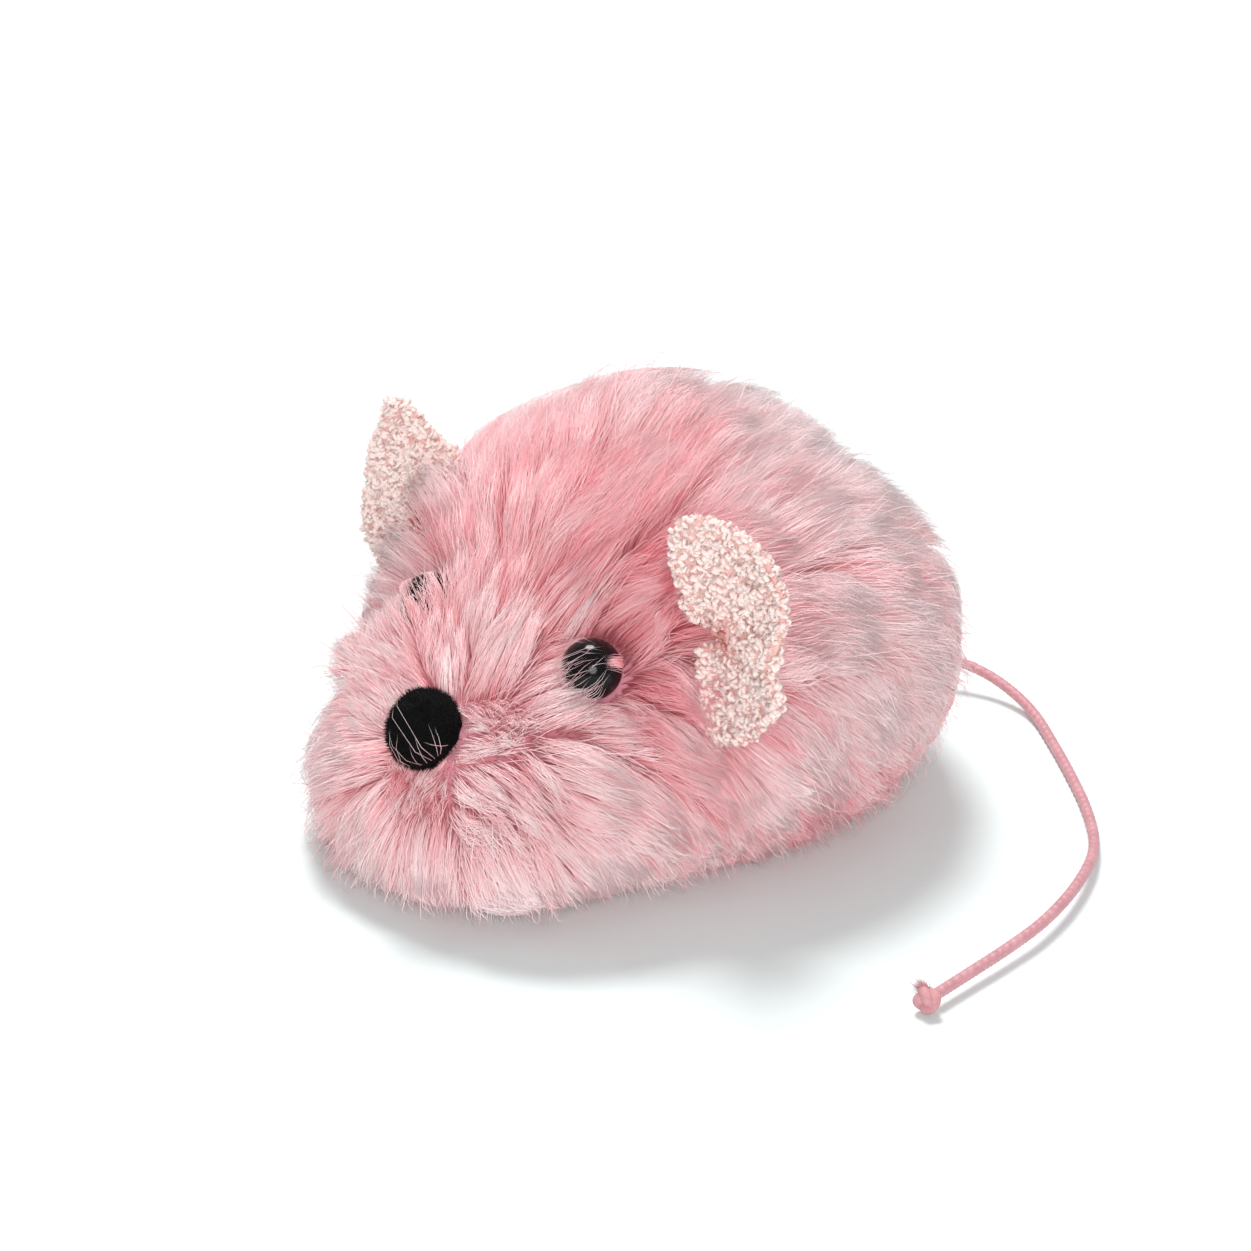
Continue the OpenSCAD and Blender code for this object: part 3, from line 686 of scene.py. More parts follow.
@dataclass
class FurCoat:
    """Backing cloth over the shell and its combed pile of tapered fibres, in millimetres."""

    envelope: BodyForm = BodyForm((0, 8, 24.5), (40, 42, 32.5), (0, -24, 15.5), (27, 26, 18))
    shell: BodyForm = BodyForm((0, 8, 20.5), (30.5, 32.5, 26.5), (0, -23, 14), (19, 17.5, 14.5))
    backing: float = 1.2
    hem: float = 1.8
    skirt: float = 7.0
    tray_arcs: tuple = ((8.5, 26.0), (-22.5, 15.5))
    strands: int = 100_000
    bands: int = 5
    fibre: float = 0.07
    whorl: Point = (0, -43.2, 29.6)
    eye_at: Point = (15, -22.6, 33.5)
    eye_reach: float = 4.1
    nose_at: Point = (0, -38.7, 25.6)
    nose_reach: float = 4.7
    ear_at: Point = (25.5, -13.8, 39.4)
    arbor: tuple[float, float] = (-5.49, 19.86)
    pocket: float = 10.0
    flange: float = 5.6
    cropped: float = 1.1
    pocket_floor: float = -18
    seed: int = 7
    dye_and_shade_zones: tuple[Zone, ...] = (
        Zone((2, -10, 45), 13, 0.40),
        Zone((14, -16, 40), 9, 0.30),
        Zone((22, -20, 34), 8, 0.28),
        Zone((2, 14, 50), 16, -0.42),
        Zone((26, 4, 34), 12, -0.22),
        Zone((30, 14, 26), 12, -0.18),
        Zone((16, 18, 42), 11, -0.24),
        Zone((14, -36, 14), 12, -0.26),
        Zone((-12, -36, 22), 10, -0.12),
        Zone((-20, 4, 42), 12, -0.15),
        # Painted shade: deeper dye low on the left flank, where shade falls.
        Zone((31, 10, 6), 14, 0.50),
        Zone((26, -11, 40), 5, 0.50),
    )
    fuller: tuple[Zone, ...] = (
        Zone((-22, -28, 18), 13, 0.34),
        Zone((-14, -38, 12), 11, 0.30),
        Zone((26, 34, 12), 13, 0.32),
        Zone((14, 28, 42), 14, -0.26),
        Zone((-10, 8, 48), 18, 0.14),
        Zone((6, -34, 6), 9, -0.25),
        Zone((18, -30, 6), 9, -0.15),
        Zone((-28, -19, 20), 10, 0.60),
    )

    def skin(self) -> bpy.types.Object:
        """Model the backing cloth: the shell's form, drawn down over the tray's edge.

        Returns:
            The cloth, closed and in place.
        """
        cloth = self.shell.build("fur_backing", self.backing)
        select_only(cloth)
        bpy.ops.object.mode_set(mode="EDIT")
        bpy.ops.mesh.select_all(action="SELECT")
        bpy.ops.mesh.bisect(
            plane_co=(0, 0, self.hem * MM), plane_no=(0, 0, 1), clear_inner=True, use_fill=False
        )
        bpy.ops.object.mode_set(mode="OBJECT")
        for vertex in cloth.data.vertices:
            if vertex.co.z < self.skirt * MM:
                self.clear_of_tray(vertex)
        modify(cloth, "SOLIDIFY", thickness=0.7 * MM, offset=-1)
        smooth(cloth, 60)
        BACKING.put_on(cloth)
        return cloth

    def clear_of_tray(self, vertex: bpy.types.MeshVertex) -> None:
        """Push a low point of the cloth out past the tray's edge.

        Args:
            vertex: The point to push.
        """
        rear, front = self.tray_arcs
        along = min(max(vertex.co.y / MM, front[0]), rear[0])
        share = (along - front[0]) / (rear[0] - front[0])
        reach = (front[1] + (rear[1] - front[1]) * share + 1.2) * MM
        axis = Vector((0, along * MM, vertex.co.z))
        out = vertex.co - axis
        if out.length < reach:
            vertex.co = axis + out.normalized() * reach

    def roots(self, skin: bpy.types.Object) -> tuple[np.ndarray, np.ndarray]:
        """Scatter fibre roots evenly over the skin's outer face.

        Args:
            skin: The backing cloth.

        Returns:
            Places and outward normals of the roots, in metres.
        """
        mesh = skin.data
        mesh.calc_loop_triangles()
        corners = np.zeros(len(mesh.vertices) * 3, np.float32)
        mesh.vertices.foreach_get("co", corners)
        normals = np.zeros(len(mesh.vertices) * 3, np.float32)
        mesh.vertices.foreach_get("normal", normals)
        corners, normals = corners.reshape(-1, 3).astype(float), normals.reshape(-1, 3).astype(float)
        triangles = np.zeros(len(mesh.loop_triangles) * 3, np.int32)
        mesh.loop_triangles.foreach_get("vertices", triangles)
        triangles = triangles.reshape(-1, 3)
        a, b, c = (corners[triangles[:, k]] for k in range(3))
        across = np.cross(b - a, c - a)
        middle = (a + b + c) / 3
        inside = np.array([0.0, 0.002, 0.016])
        outer = np.einsum("ij,ij->i", across, middle - inside) > 0
        area = np.linalg.norm(across, axis=1) * outer
        random = np.random.default_rng(self.seed)
        pick = random.choice(len(area), int(self.strands * 1.35), p=area / area.sum())
        u, v = random.random((2, len(pick)))
        flip = u + v > 1
        u[flip], v[flip] = 1 - u[flip], 1 - v[flip]
        w = 1 - u - v
        place = w[:, None] * a[pick] + u[:, None] * b[pick] + v[:, None] * c[pick]
        corner = [normals[triangles[pick, k]] for k in range(3)]
        facing = unit(w[:, None] * corner[0] + u[:, None] * corner[1] + v[:, None] * corner[2])
        free = ~self.bare(place)
        place, facing = place[free], facing[free]
        return place[: self.strands], facing[: self.strands]

    def bare(self, place: np.ndarray) -> np.ndarray:
        """Which roots lie under the nose, an eye or the key, or below the hem.

        Args:
            place: The roots, in metres.

        Returns:
            True for each root that is left out.
        """
        p = place / MM
        under = p[:, 2] < self.hem + 0.1
        under |= np.linalg.norm(p - self.nose_at, axis=1) < self.nose_reach
        for side in Side:
            eye = np.array(self.eye_at) * (side.value, 1, 1)
            under |= np.linalg.norm(p - eye, axis=1) < self.eye_reach + 0.6
        return under | self.by_key(place, self.flange)

    def by_key(self, place: np.ndarray, reach: float) -> np.ndarray:
        """Which places on the right flank lie within a distance of the key's axis.

        Args:
            place: The places, in metres.
            reach: The distance, in millimetres.

        Returns:
            True for each place that does.
        """
        p = place / MM
        from_arbor = np.hypot(p[:, 1] - self.arbor[0], p[:, 2] - self.arbor[1])
        return (p[:, 0] < self.pocket_floor) & (from_arbor < reach)

    def comb(self, place: np.ndarray, facing: np.ndarray) -> np.ndarray:
        """Direction in which the pile is combed at each root.

        Args:
            place: The roots, in metres.
            facing: Their normals.

        Returns:
            Unit vectors along the skin.
        """
        p = place / MM
        away = p - self.whorl
        distance = np.linalg.norm(away, axis=1, keepdims=True)
        flow = away / distance
        late = ramp(distance, 10, 42)
        steep = 1 - np.clip(facing[:, 2:3], 0, 1)
        flow = flow + late * np.array([0.0, 0.30, 0.0])
        flow = flow + late * steep * np.array([0.0, 0.0, -1.5])
        rear = ramp(p[:, 1:2], 18, 40)
        flow = flow + rear * np.array([0.0, -0.6, -0.8])
        swirl = wander(place, 15 * MM, 3.1) * 0.32 + wander(place, 5 * MM, 9.7) * 0.14
        flow = flow + swirl * ramp(distance, 10, 26)
        flow = flow - np.einsum("ij,ij->i", flow, facing)[:, None] * facing
        return unit(flow)

    def pile(self, place: np.ndarray, facing: np.ndarray, outer: BVHTree) -> np.ndarray:
        """Height of the pile above the skin at each root.

        Args:
            place: The roots, in metres.
            facing: Their normals.
            outer: The furred envelope.

        Returns:
            Heights in metres.
        """
        reach = np.array(
            [outer.ray_cast(Vector(p), Vector(n))[3] or 0.006 for p, n in zip(place, facing)]
        )
        p = place / MM
        height = np.clip(reach, 3 * MM, 10.5 * MM) * self.fullness(place)
        near = np.linalg.norm(p - self.nose_at, axis=1) - self.nose_reach
        height = np.minimum(height, (1.4 + 0.5 * np.maximum(near, 0)) * MM)
        for side in Side:
            eye = np.array(self.eye_at) * (side.value, 1, 1)
            close = np.linalg.norm(p - eye, axis=1) - self.eye_reach
            cover = 2.2 if side is Side.LEFT else 4.6
            limit = (cover + 0.55 * np.maximum(close, 0)) * MM
            ahead = p[:, 1] < eye[1] + 3
            height = np.where(ahead, np.minimum(height, limit), height)
            ear = np.array(self.ear_at) * (side.value, 1, 1)
            from_ear = np.hypot(p[:, 0] - ear[0] - 4 * side.value, p[:, 2] - ear[2] + 4) - 6
            from_ear = np.hypot(np.maximum(from_ear, 0), 1.3 * (ear[1] - p[:, 1]))
            cover = 2.0 if side is Side.LEFT else 5.5
            limit = (cover + 0.42 * from_ear) * MM
            height = np.where(p[:, 1] < ear[1] + 1, np.minimum(height, limit), height)
        return np.where(self.by_key(place, self.pocket - 0.6), self.cropped * MM, height)

    def fullness(self, place: np.ndarray) -> np.ndarray:
        """Share of its usual height that the pile has at each root.

        Args:
            place: The roots, in metres.

        Returns:
            One number per root.
        """
        return 1 + sum(zone.share(place / MM) for zone in self.fuller)

    def tints(self, place: np.ndarray, random: np.random.Generator) -> np.ndarray:
        """Dye depth of each fibre, from 0, palest, to 1, deepest; low on the left flank it also carries
        painted shade.

        Args:
            place: The roots, in metres.
            random: Source of the fibre-to-fibre difference.

        Returns:
            One number per fibre.
        """
        p = place / MM
        tint = np.full(len(p), 0.33)
        # Zones deepen or pale the dye; the one low on the left flank paints shade.
        for zone in self.dye_and_shade_zones:
            tint += zone.share(p)
        tint += 0.18 * wander(place, 7 * MM, 21.3)[:, 0] + 0.14 * wander(place, 2.4 * MM, 5.9)[:, 0]
        for spacing, spread in ((1.7 * MM, 0.16), (5.5 * MM, 0.08)):
            owner = self.locks(place, spacing)
            tint += random.normal(0, spread, len(p))[owner]
        tint += random.normal(0, 0.14, len(p))
        return np.clip(tint, 0.02, 0.98)

    def locks(self, roots: np.ndarray, spacing: float) -> np.ndarray:
        """Share the fibres out among locks, each led by one fibre.

        Args:
            roots: The fibres' roots, in metres.
            spacing: Distance between locks, in metres.

        Returns:
            The number of each fibre's leading fibre.
        """
        random = np.random.default_rng(self.seed + round(spacing / MM * 10))
        count = max(8, int(9.5e-3 / spacing**2))
        chosen = random.choice(len(roots), min(count, len(roots)), replace=False)
        tree = KDTree(len(chosen))
        for number, fibre in enumerate(chosen):
            tree.insert(Vector(roots[fibre]), number)
        tree.balance()
        return chosen[np.array([tree.find(Vector(p))[1] for p in roots])]

    def grow(self, place: np.ndarray, facing: np.ndarray, outer: BVHTree) -> np.ndarray:
        """Centre line of every fibre: four points from root to tip.

        Args:
            place: The roots, in metres.
            facing: Their normals.
            outer: The furred envelope.

        Returns:
            Array of fibres by points by coordinates.
        """
        random = np.random.default_rng(self.seed + 1)
        count = len(place)
        comb = self.comb(place, facing)
        height = self.pile(place, facing, outer) * random.uniform(0.84, 1.14, count)
        stray = random.random(count) < np.where(place[:, 2] < 13 * MM, 0.16, 0.07)
        height = height * np.where(stray, random.uniform(1.05, 1.35, count), 1)
        side = np.cross(facing, comb)
        fine, coarse = self.locks(place, 1.7 * MM), self.locks(place, 5.5 * MM)
        sway = random.normal(0, 0.12, count) + stray * random.normal(0, 0.35, count)
        sway += random.normal(0, 0.10, count)[fine] + random.normal(0, 0.13, count)[coarse]
        height *= 1 + random.normal(0, 0.07, count)[fine] + random.normal(0, 0.09, count)[coarse]
        curl = random.normal(0, 0.10, count)
        rise = np.radians([58.0, 36.0, 17.0])
        low = 0.55 * (1 - ramp(place[:, 2], 2 * MM, 11 * MM))
        rise = rise[None] + (random.normal(0, 0.09, count) + stray * 0.15 + low)[:, None]
        length = height * 3 / np.sin(rise).sum(1)
        points = [place - facing * 0.3 * MM]
        for k in range(3):
            bend = (sway + curl * k * 0.5)[:, None]
            along = unit(comb + side * bend)
            step = np.cos(rise[:, k : k + 1]) * along + np.sin(rise[:, k : k + 1]) * facing
            points.append(points[-1] + step * (length / 3)[:, None])
        line = np.stack(points, 1)
        bound = ~stray & ~self.by_key(place, self.pocket - 0.6)
        line = self.clump(line, fine, 0.55 * random.uniform(0.55, 1.15, count) * bound)
        line = self.clump(line, coarse, 0.52 * random.uniform(0.55, 1.15, count) * bound)
        allowed = np.where(stray, 3.0, 0.9) + 9 * np.maximum(self.fullness(place) - 1, 0)
        return self.part(self.contain(line, outer, allowed * MM))

    def contain(self, line: np.ndarray, outer: BVHTree, allowed: np.ndarray) -> np.ndarray:
        """Press fibres that stand out of the furred envelope back onto it.

        Args:
            line: The fibres' centre lines.
            outer: The furred envelope.
            allowed: How far out of it each fibre may stand, in metres.

        Returns:
            The centre lines after the pressing.
        """
        for number in range(1, line.shape[1]):
            for fibre, point in enumerate(line[:, number]):
                near, normal, _, _ = outer.find_nearest(Vector(point))
                proud = (Vector(point) - near).dot(normal)
                if proud > allowed[fibre]:
                    line[fibre, number] = near + normal * allowed[fibre]
        return line

    def clump(self, line: np.ndarray, owner: np.ndarray, pull: np.ndarray) -> np.ndarray:
        """Draw the tips of neighbouring fibres together into locks.

        Args:
            line: The fibres' centre lines.
            owner: The number of each fibre's leading fibre.
            pull: Share of the way that each tip moves to its leader's tip.

        Returns:
            The centre lines after the pull.
        """
        share = np.array([0.0, 0.16, 0.5, 1.0])[None, :, None] * pull[:, None, None]
        return line + (line[owner] - line) * np.clip(share, 0, 0.97)

    def part(self, line: np.ndarray) -> np.ndarray:
        """Keep the fibres off the key, the eyes, the nose, the ears and the floor.

        Args:
            line: The fibres' centre lines.

        Returns:
            The centre lines, moved where they ran into something.
        """
        p = line / MM
        from_arbor = p[..., 1:] - np.array(self.arbor)
        far = np.linalg.norm(from_arbor, axis=-1, keepdims=True)
        push = np.maximum(far, self.pocket) / np.maximum(far, 1e-6)
        opened = np.array(self.arbor) + from_arbor * push
        short = self.by_key(line[:, 0], self.pocket - 0.6)[:, None, None]
        near_key = (p[..., :1] < self.pocket_floor) & ~short
        p = np.concatenate([p[..., :1], np.where(near_key, opened, p[..., 1:])], -1)
        balls = [(np.array(self.nose_at), self.nose_reach + 0.1)]
        balls += [(np.array(self.eye_at) * (s.value, 1, 1), self.eye_reach + 0.15) for s in Side]
        for centre, reach in balls:
            out = p - centre
            far = np.linalg.norm(out, axis=-1, keepdims=True)
            p = centre + out * np.maximum(far, reach) / np.maximum(far, 1e-6)
        for side in Side:
            base = np.array(self.ear_at) * (side.value, 1, 1)
            span = np.hypot(p[..., 0] - base[0] - side.value * 6, p[..., 2] - base[2] - 1.5)
            before = p[:, :1, 1] < base[1] - 0.5
            limit = base[1] - 1.8
            p[..., 1] = np.where((span < 17) & before, np.minimum(p[..., 1], limit), p[..., 1])
        low = 0.2 + 0.5 * np.abs(np.sin(p[..., 0] * 3.1 + p[..., 1] * 2.3))
        p[..., 2] = np.maximum(p[..., 2], low)
        return p * MM

    def tufts(self, line: np.ndarray, tint: np.ndarray, name: str) -> bpy.types.Object:
        """Model fibres as closed, tapered, three-sided prisms.

        Args:
            line: Their centre lines.
            tint: Their dye depths.
            name: Name of the piece.

        Returns:
            The piece, with its tint layer.
        """
        count = len(line)
        way = unit(np.gradient(line, axis=1))
        bend = np.cross(line[:, 1] - line[:, 0], line[:, 3] - line[:, 0])
        side = np.repeat(unit(bend + 1e-12)[:, None], 4, 1)
        over = unit(np.cross(way, side))
        taper = np.array([1.0, 0.9, 0.6]) * self.fibre * MM
        rings = []
        for turn in range(3):
            angle = 2 * math.pi * turn / 3
            offset = math.cos(angle) * side[:, :3] + math.sin(angle) * over[:, :3]
            rings.append(line[:, :3] + offset * taper[None, :, None])
        body = np.stack(rings, 2).reshape(count, 9, 3)
        points = np.concatenate([body, line[:, 3:4]], 1)
        triangles = [(0, 2, 1)]
        for ring in (0, 3):
            for k in range(3):
                a, b = ring + k, ring + (k + 1) % 3
                triangles += [(a, b, b + 3), (a, b + 3, a + 3)]
        triangles += [(6 + k, 6 + (k + 1) % 3, 9) for k in range(3)]
        template = np.array(triangles)
        faces = (np.arange(count)[:, None, None] * 10 + template[None]).reshape(-1, 3)
        piece = from_arrays(name, points.reshape(-1, 3), faces)
        layer = piece.data.uv_layers.new(name=TINT_LAYER)
        along = np.array([0, 0, 0, 0.38, 0.38, 0.38, 0.74, 0.74, 0.74, 1.0])
        uv = np.stack([np.repeat(tint, 10), np.tile(along, count)], 1)
        layer.data.foreach_set("uv", uv[faces.ravel()].astype(np.float32).ravel())
        return piece

    def build(self) -> list[bpy.types.Object]:
        """Model and dress the coat.

        Returns:
            The backing and the pile's pieces.
        """
        skin = self.skin()
        hull = self.envelope.build("envelope")
        outer = BVHTree.FromObject(hull, bpy.context.evaluated_depsgraph_get())
        place, facing = self.roots(skin)
        line = self.grow(place, facing, outer)
        bpy.data.objects.remove(hull)
        tint = self.tints(place, np.random.default_rng(self.seed + 2))
        pieces = [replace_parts(skin, "fur_coat")]
        for side in Side:
            mine = np.flatnonzero(np.sign(place[:, 0] + 1e-12) == side.value)
            mine = mine[np.argsort(place[mine, 1], kind="stable")]
            for number, part in enumerate(np.array_split(mine, self.bands)):
                name = f"fur_{('muzzle', 'cheek', 'shoulder', 'flank', 'rump')[number]}_{side.word}"
                piece = self.tufts(line[part], tint[part], name)
                PILE.put_on(piece)
                pieces.append(piece)
        for piece in pieces:
            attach(piece, BODY)
            log.info("%s: %d faces", piece.name, len(piece.data.polygons))
        return pieces


# ---------------------------------------------------------------- face


@dataclass(frozen=True)
class Wisp:
    """Hairs that rise beside a round piece and lie across it, in millimetres.

    The piece has its centre `at` and the radius `reach`. The hairs start on its side that is
    toward `source`. They end `across` of a radius toward it, or past the middle if negative.
    They stand `offset` of a radius to one side, and `depth` is the middle of their dye depths.
    """

    at: np.ndarray
    reach: float
    facing: tuple[float, float]
    source: Point
    count: int
    across: float
    offset: float
    spread: float
    depth: float = 0.2

    def hairs(self, axis: np.ndarray, random: np.random.Generator) -> np.ndarray:
        """Centre lines of the hairs.

        Args:
            axis: Direction in which the piece faces.
            random: Source of the hair-to-hair difference.

        Returns:
            Array of hairs by points by coordinates.
        """
        source = np.array(self.source)
        toward = unit(source - source.dot(axis) * axis)
        beside = np.cross(axis, toward)
        one, two, lift = random.normal(0, self.spread, (3, self.count, 1))
        start = unit(0.1 * axis + toward + (self.offset + 1.3 * one) * beside)
        end = axis + (self.across + lift) * toward + (0.7 * self.offset + one + 0.6 * two) * beside
        share = np.linspace(0, 1, 4)[None, :, None]
        arc = unit(start[:, None] * (1 - share) + unit(end)[:, None] * share)
        swell = random.uniform(0.3, 0.8, (self.count, 1, 1))
        return self.at + arc * (self.reach + 0.15 + swell * np.sin(share * math.pi))


@dataclass
class Face:
    """Nose and eyes, in millimetres."""

    nose_at: Point = (0, -38.7, 25.6)
    nose_facing: tuple[float, float] = (-90, 48)
    nose_size: Point = (5.3, 4.5, 4.9)
    flock: int = 5200
    flock_length: float = 0.7
    eye_at: Point = (15, -22.6, 33.5)
    eye_facing: tuple[float, float] = (-62, 55)
    eye_reach: float = 4.1
    hair: float = 0.04
    seed: int = 23

    def dome(self, name: str, at: Point, size: Point, facing: tuple, base: float) -> bpy.types.Object:
        """Model a dome on a stem: a sphere cut flat behind, its rim rounded.

        Args:
            name: Name of the piece.
            at: Centre of the sphere.
            size: Half sizes across, up and out.
            facing: Turn about Z and tilt down from +Z, in degrees.
            base: Distance from the centre back to the flat.

        Returns:
            The piece, in place.
        """
        deselect()
        bpy.ops.mesh.primitive_uv_sphere_add(segments=64, ring_count=40, radius=1, scale=size)
        made = bpy.context.object
        bpy.ops.object.transform_apply(location=False, rotation=False, scale=True)
        bpy.ops.object.mode_set(mode="EDIT")
        bpy.ops.mesh.select_all(action="SELECT")
        bpy.ops.mesh.bisect(
            plane_co=(0, 0, -base), plane_no=(0, 0, 1), clear_inner=True, use_fill=True
        )
        bpy.ops.mesh.inset(thickness=size[0] * 0.25)
        bpy.ops.mesh.extrude_region_move(TRANSFORM_OT_translate={"value": (0, 0, -0.8)})
        bpy.ops.object.mode_set(mode="OBJECT")
        modify(made, "BEVEL", width=0.18, segments=3, limit_method="ANGLE", angle_limit=0.6)
        made.rotation_euler = (0, math.radians(facing[1]), math.radians(facing[0]))
        made.scale = (MM,) * 3
        made.location = Vector(at) * MM
        settle(made, name)
        smooth(made, 50)
        return made

    def nose(self) -> None:
        """Model the flocked nose: its dome and its short flock fibres."""
        dome = self.dome("nose_dome", self.nose_at, self.nose_size, self.nose_facing, 2.6)
        lumps = bpy.data.textures.new("nose_lumps", "CLOUDS")
        lumps.noise_scale = 1.5 * MM
        modify(dome, "DISPLACE", texture=lumps, strength=0.9 * MM, mid_level=0.5)
        NOSE_CORE.put_on(dome)
        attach(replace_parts(dome, "nose"), BODY)
        random = np.random.default_rng(self.seed)
        ways = unit(random.normal(0, 1, (self.flock * 3, 3)))
        tree = BVHTree.FromObject(dome, bpy.context.evaluated_depsgraph_get())
        centre = Vector(self.nose_at) * MM
        hits = [tree.ray_cast(centre + Vector(w) * 0.02, -Vector(w)) for w in ways]
        axis = self.axis(self.nose_facing)
        kept = [(h[0], h[1]) for h in hits if h[0] and (h[0] - centre).dot(axis) > -2.2 * MM]
        place = np.array([h[0] for h in kept[: self.flock]])
        normal = np.array([h[1] for h in kept[: self.flock]])
        lean = unit(normal + random.normal(0, 0.7, normal.shape))
        long = random.uniform(0.5, 1.2, len(place))[:, None] * self.flock_length * MM
        line = np.stack([place - normal * 0.1 * MM, place + lean * long], 1)
        flock = spikes("nose_flock", line, 0.06 * MM)
        FLOCK.put_on(flock)
        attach(flock, BODY)
        log.info("nose: %d flock fibres", len(place))

    def axis(self, facing: tuple[float, float]) -> Vector:
        """Unit vector along which a piece of trim faces."""
        turn, tilt = math.radians(facing[0]), math.radians(facing[1])
        return Vector(
            (math.sin(tilt) * math.cos(turn), math.sin(tilt) * math.sin(turn), math.cos(tilt))
        )

    def eyes(self) -> None:
        """Model the two bead eyes."""
        for side in Side:
            at = (self.eye_at[0] * side.value, *self.eye_at[1:])
            turn = self.eye_facing[0] if side is Side.LEFT else 180 - self.eye_facing[0]
            size = (self.eye_reach,) * 3
            bead = self.dome(
                f"{side.word}_eye_bead", at, size, (turn, self.eye_facing[1]), 2.2
            )
            BEAD.put_on(bead)
            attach(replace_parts(bead, f"{side.word}_eye"), BODY)
            log.info("%s eye", side.word)

    def wisps(self) -> list[Wisp]:
        """The groups of long hairs that lie over the nose and the eyes.

        Returns:
            The groups.
        """
        nose = np.array(self.nose_at)
        found = [Wisp(nose, self.nose_reach(), self.nose_facing, (1, -0.2, -0.9), 10, 0.3, 0, 0.5)]
        for side in Side:
            at = np.array(self.eye_at) * (side.value, 1, 1)
            turn = self.eye_facing[0] if side is Side.LEFT else 180 - self.eye_facing[0]
            facing, ahead = (turn, self.eye_facing[1]), tuple(nose - at)
            if side is Side.LEFT:
                found.append(Wisp(at, self.eye_reach, facing, ahead, 36, -0.3, 0.2, 0.5, 0.3))
                found.append(Wisp(at, self.eye_reach, facing, tuple(at - nose), 70, 0.8, -0.25, 0.08, 0.75))
            else:
                for offset in (-1.0, 0.0, 1.0):
                    found.append(Wisp(at, self.eye_reach, facing, ahead, 42, -0.9, offset, 0.1, 0.35))
        return found

    def strays(self) -> None:
        """Lay long pale hairs over the nose and the eyes."""
        random = np.random.default_rng(self.seed + 5)
        lines, tints = [], []
        for wisp in self.wisps():
            lines.append(wisp.hairs(np.array(self.axis(wisp.facing)), random))
            tints.append(np.clip(random.normal(wisp.depth, 0.12, wisp.count), 0.02, 0.98))
        lines, tints = np.concatenate(lines) * MM, np.concatenate(tints)
        hairs = FurCoat(fibre=self.hair).tufts(lines, tints, "stray_hairs")
        PILE.put_on(hairs)
        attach(hairs, BODY)

    def nose_reach(self) -> float:
        """Largest half size of the nose."""
        return max(self.nose_size)

    def build(self) -> None:
        """Model and dress the face."""
        self.nose()
        self.eyes()
        self.strays()


def spikes(name: str, line: np.ndarray, radius: float) -> bpy.types.Object:
    """Model short straight fibres as three-sided spikes.

    Args:
        name: Name of the piece.
        line: Root and tip of each fibre.
        radius: Radius at the root.

    Returns:
        The piece.
    """
    count = len(line)
    way = unit(line[:, 1] - line[:, 0])
    side = unit(np.cross(way, [0.31, 0.52, 0.79]))
    over = np.cross(way, side)
    ring = [
        line[:, 0] + radius * (math.cos(a) * side + math.sin(a) * over)
        for a in (0, 2 * math.pi / 3, 4 * math.pi / 3)
    ]
    points = np.stack([*ring, line[:, 1]], 1).reshape(-1, 3)
    template = np.array([(0, 2, 1), (0, 1, 3), (1, 2, 3), (2, 0, 3)])
    faces = (np.arange(count)[:, None, None] * 4 + template[None]).reshape(-1, 3)
    return from_arrays(name, points, faces)


# ---------------------------------------------------------------- ears


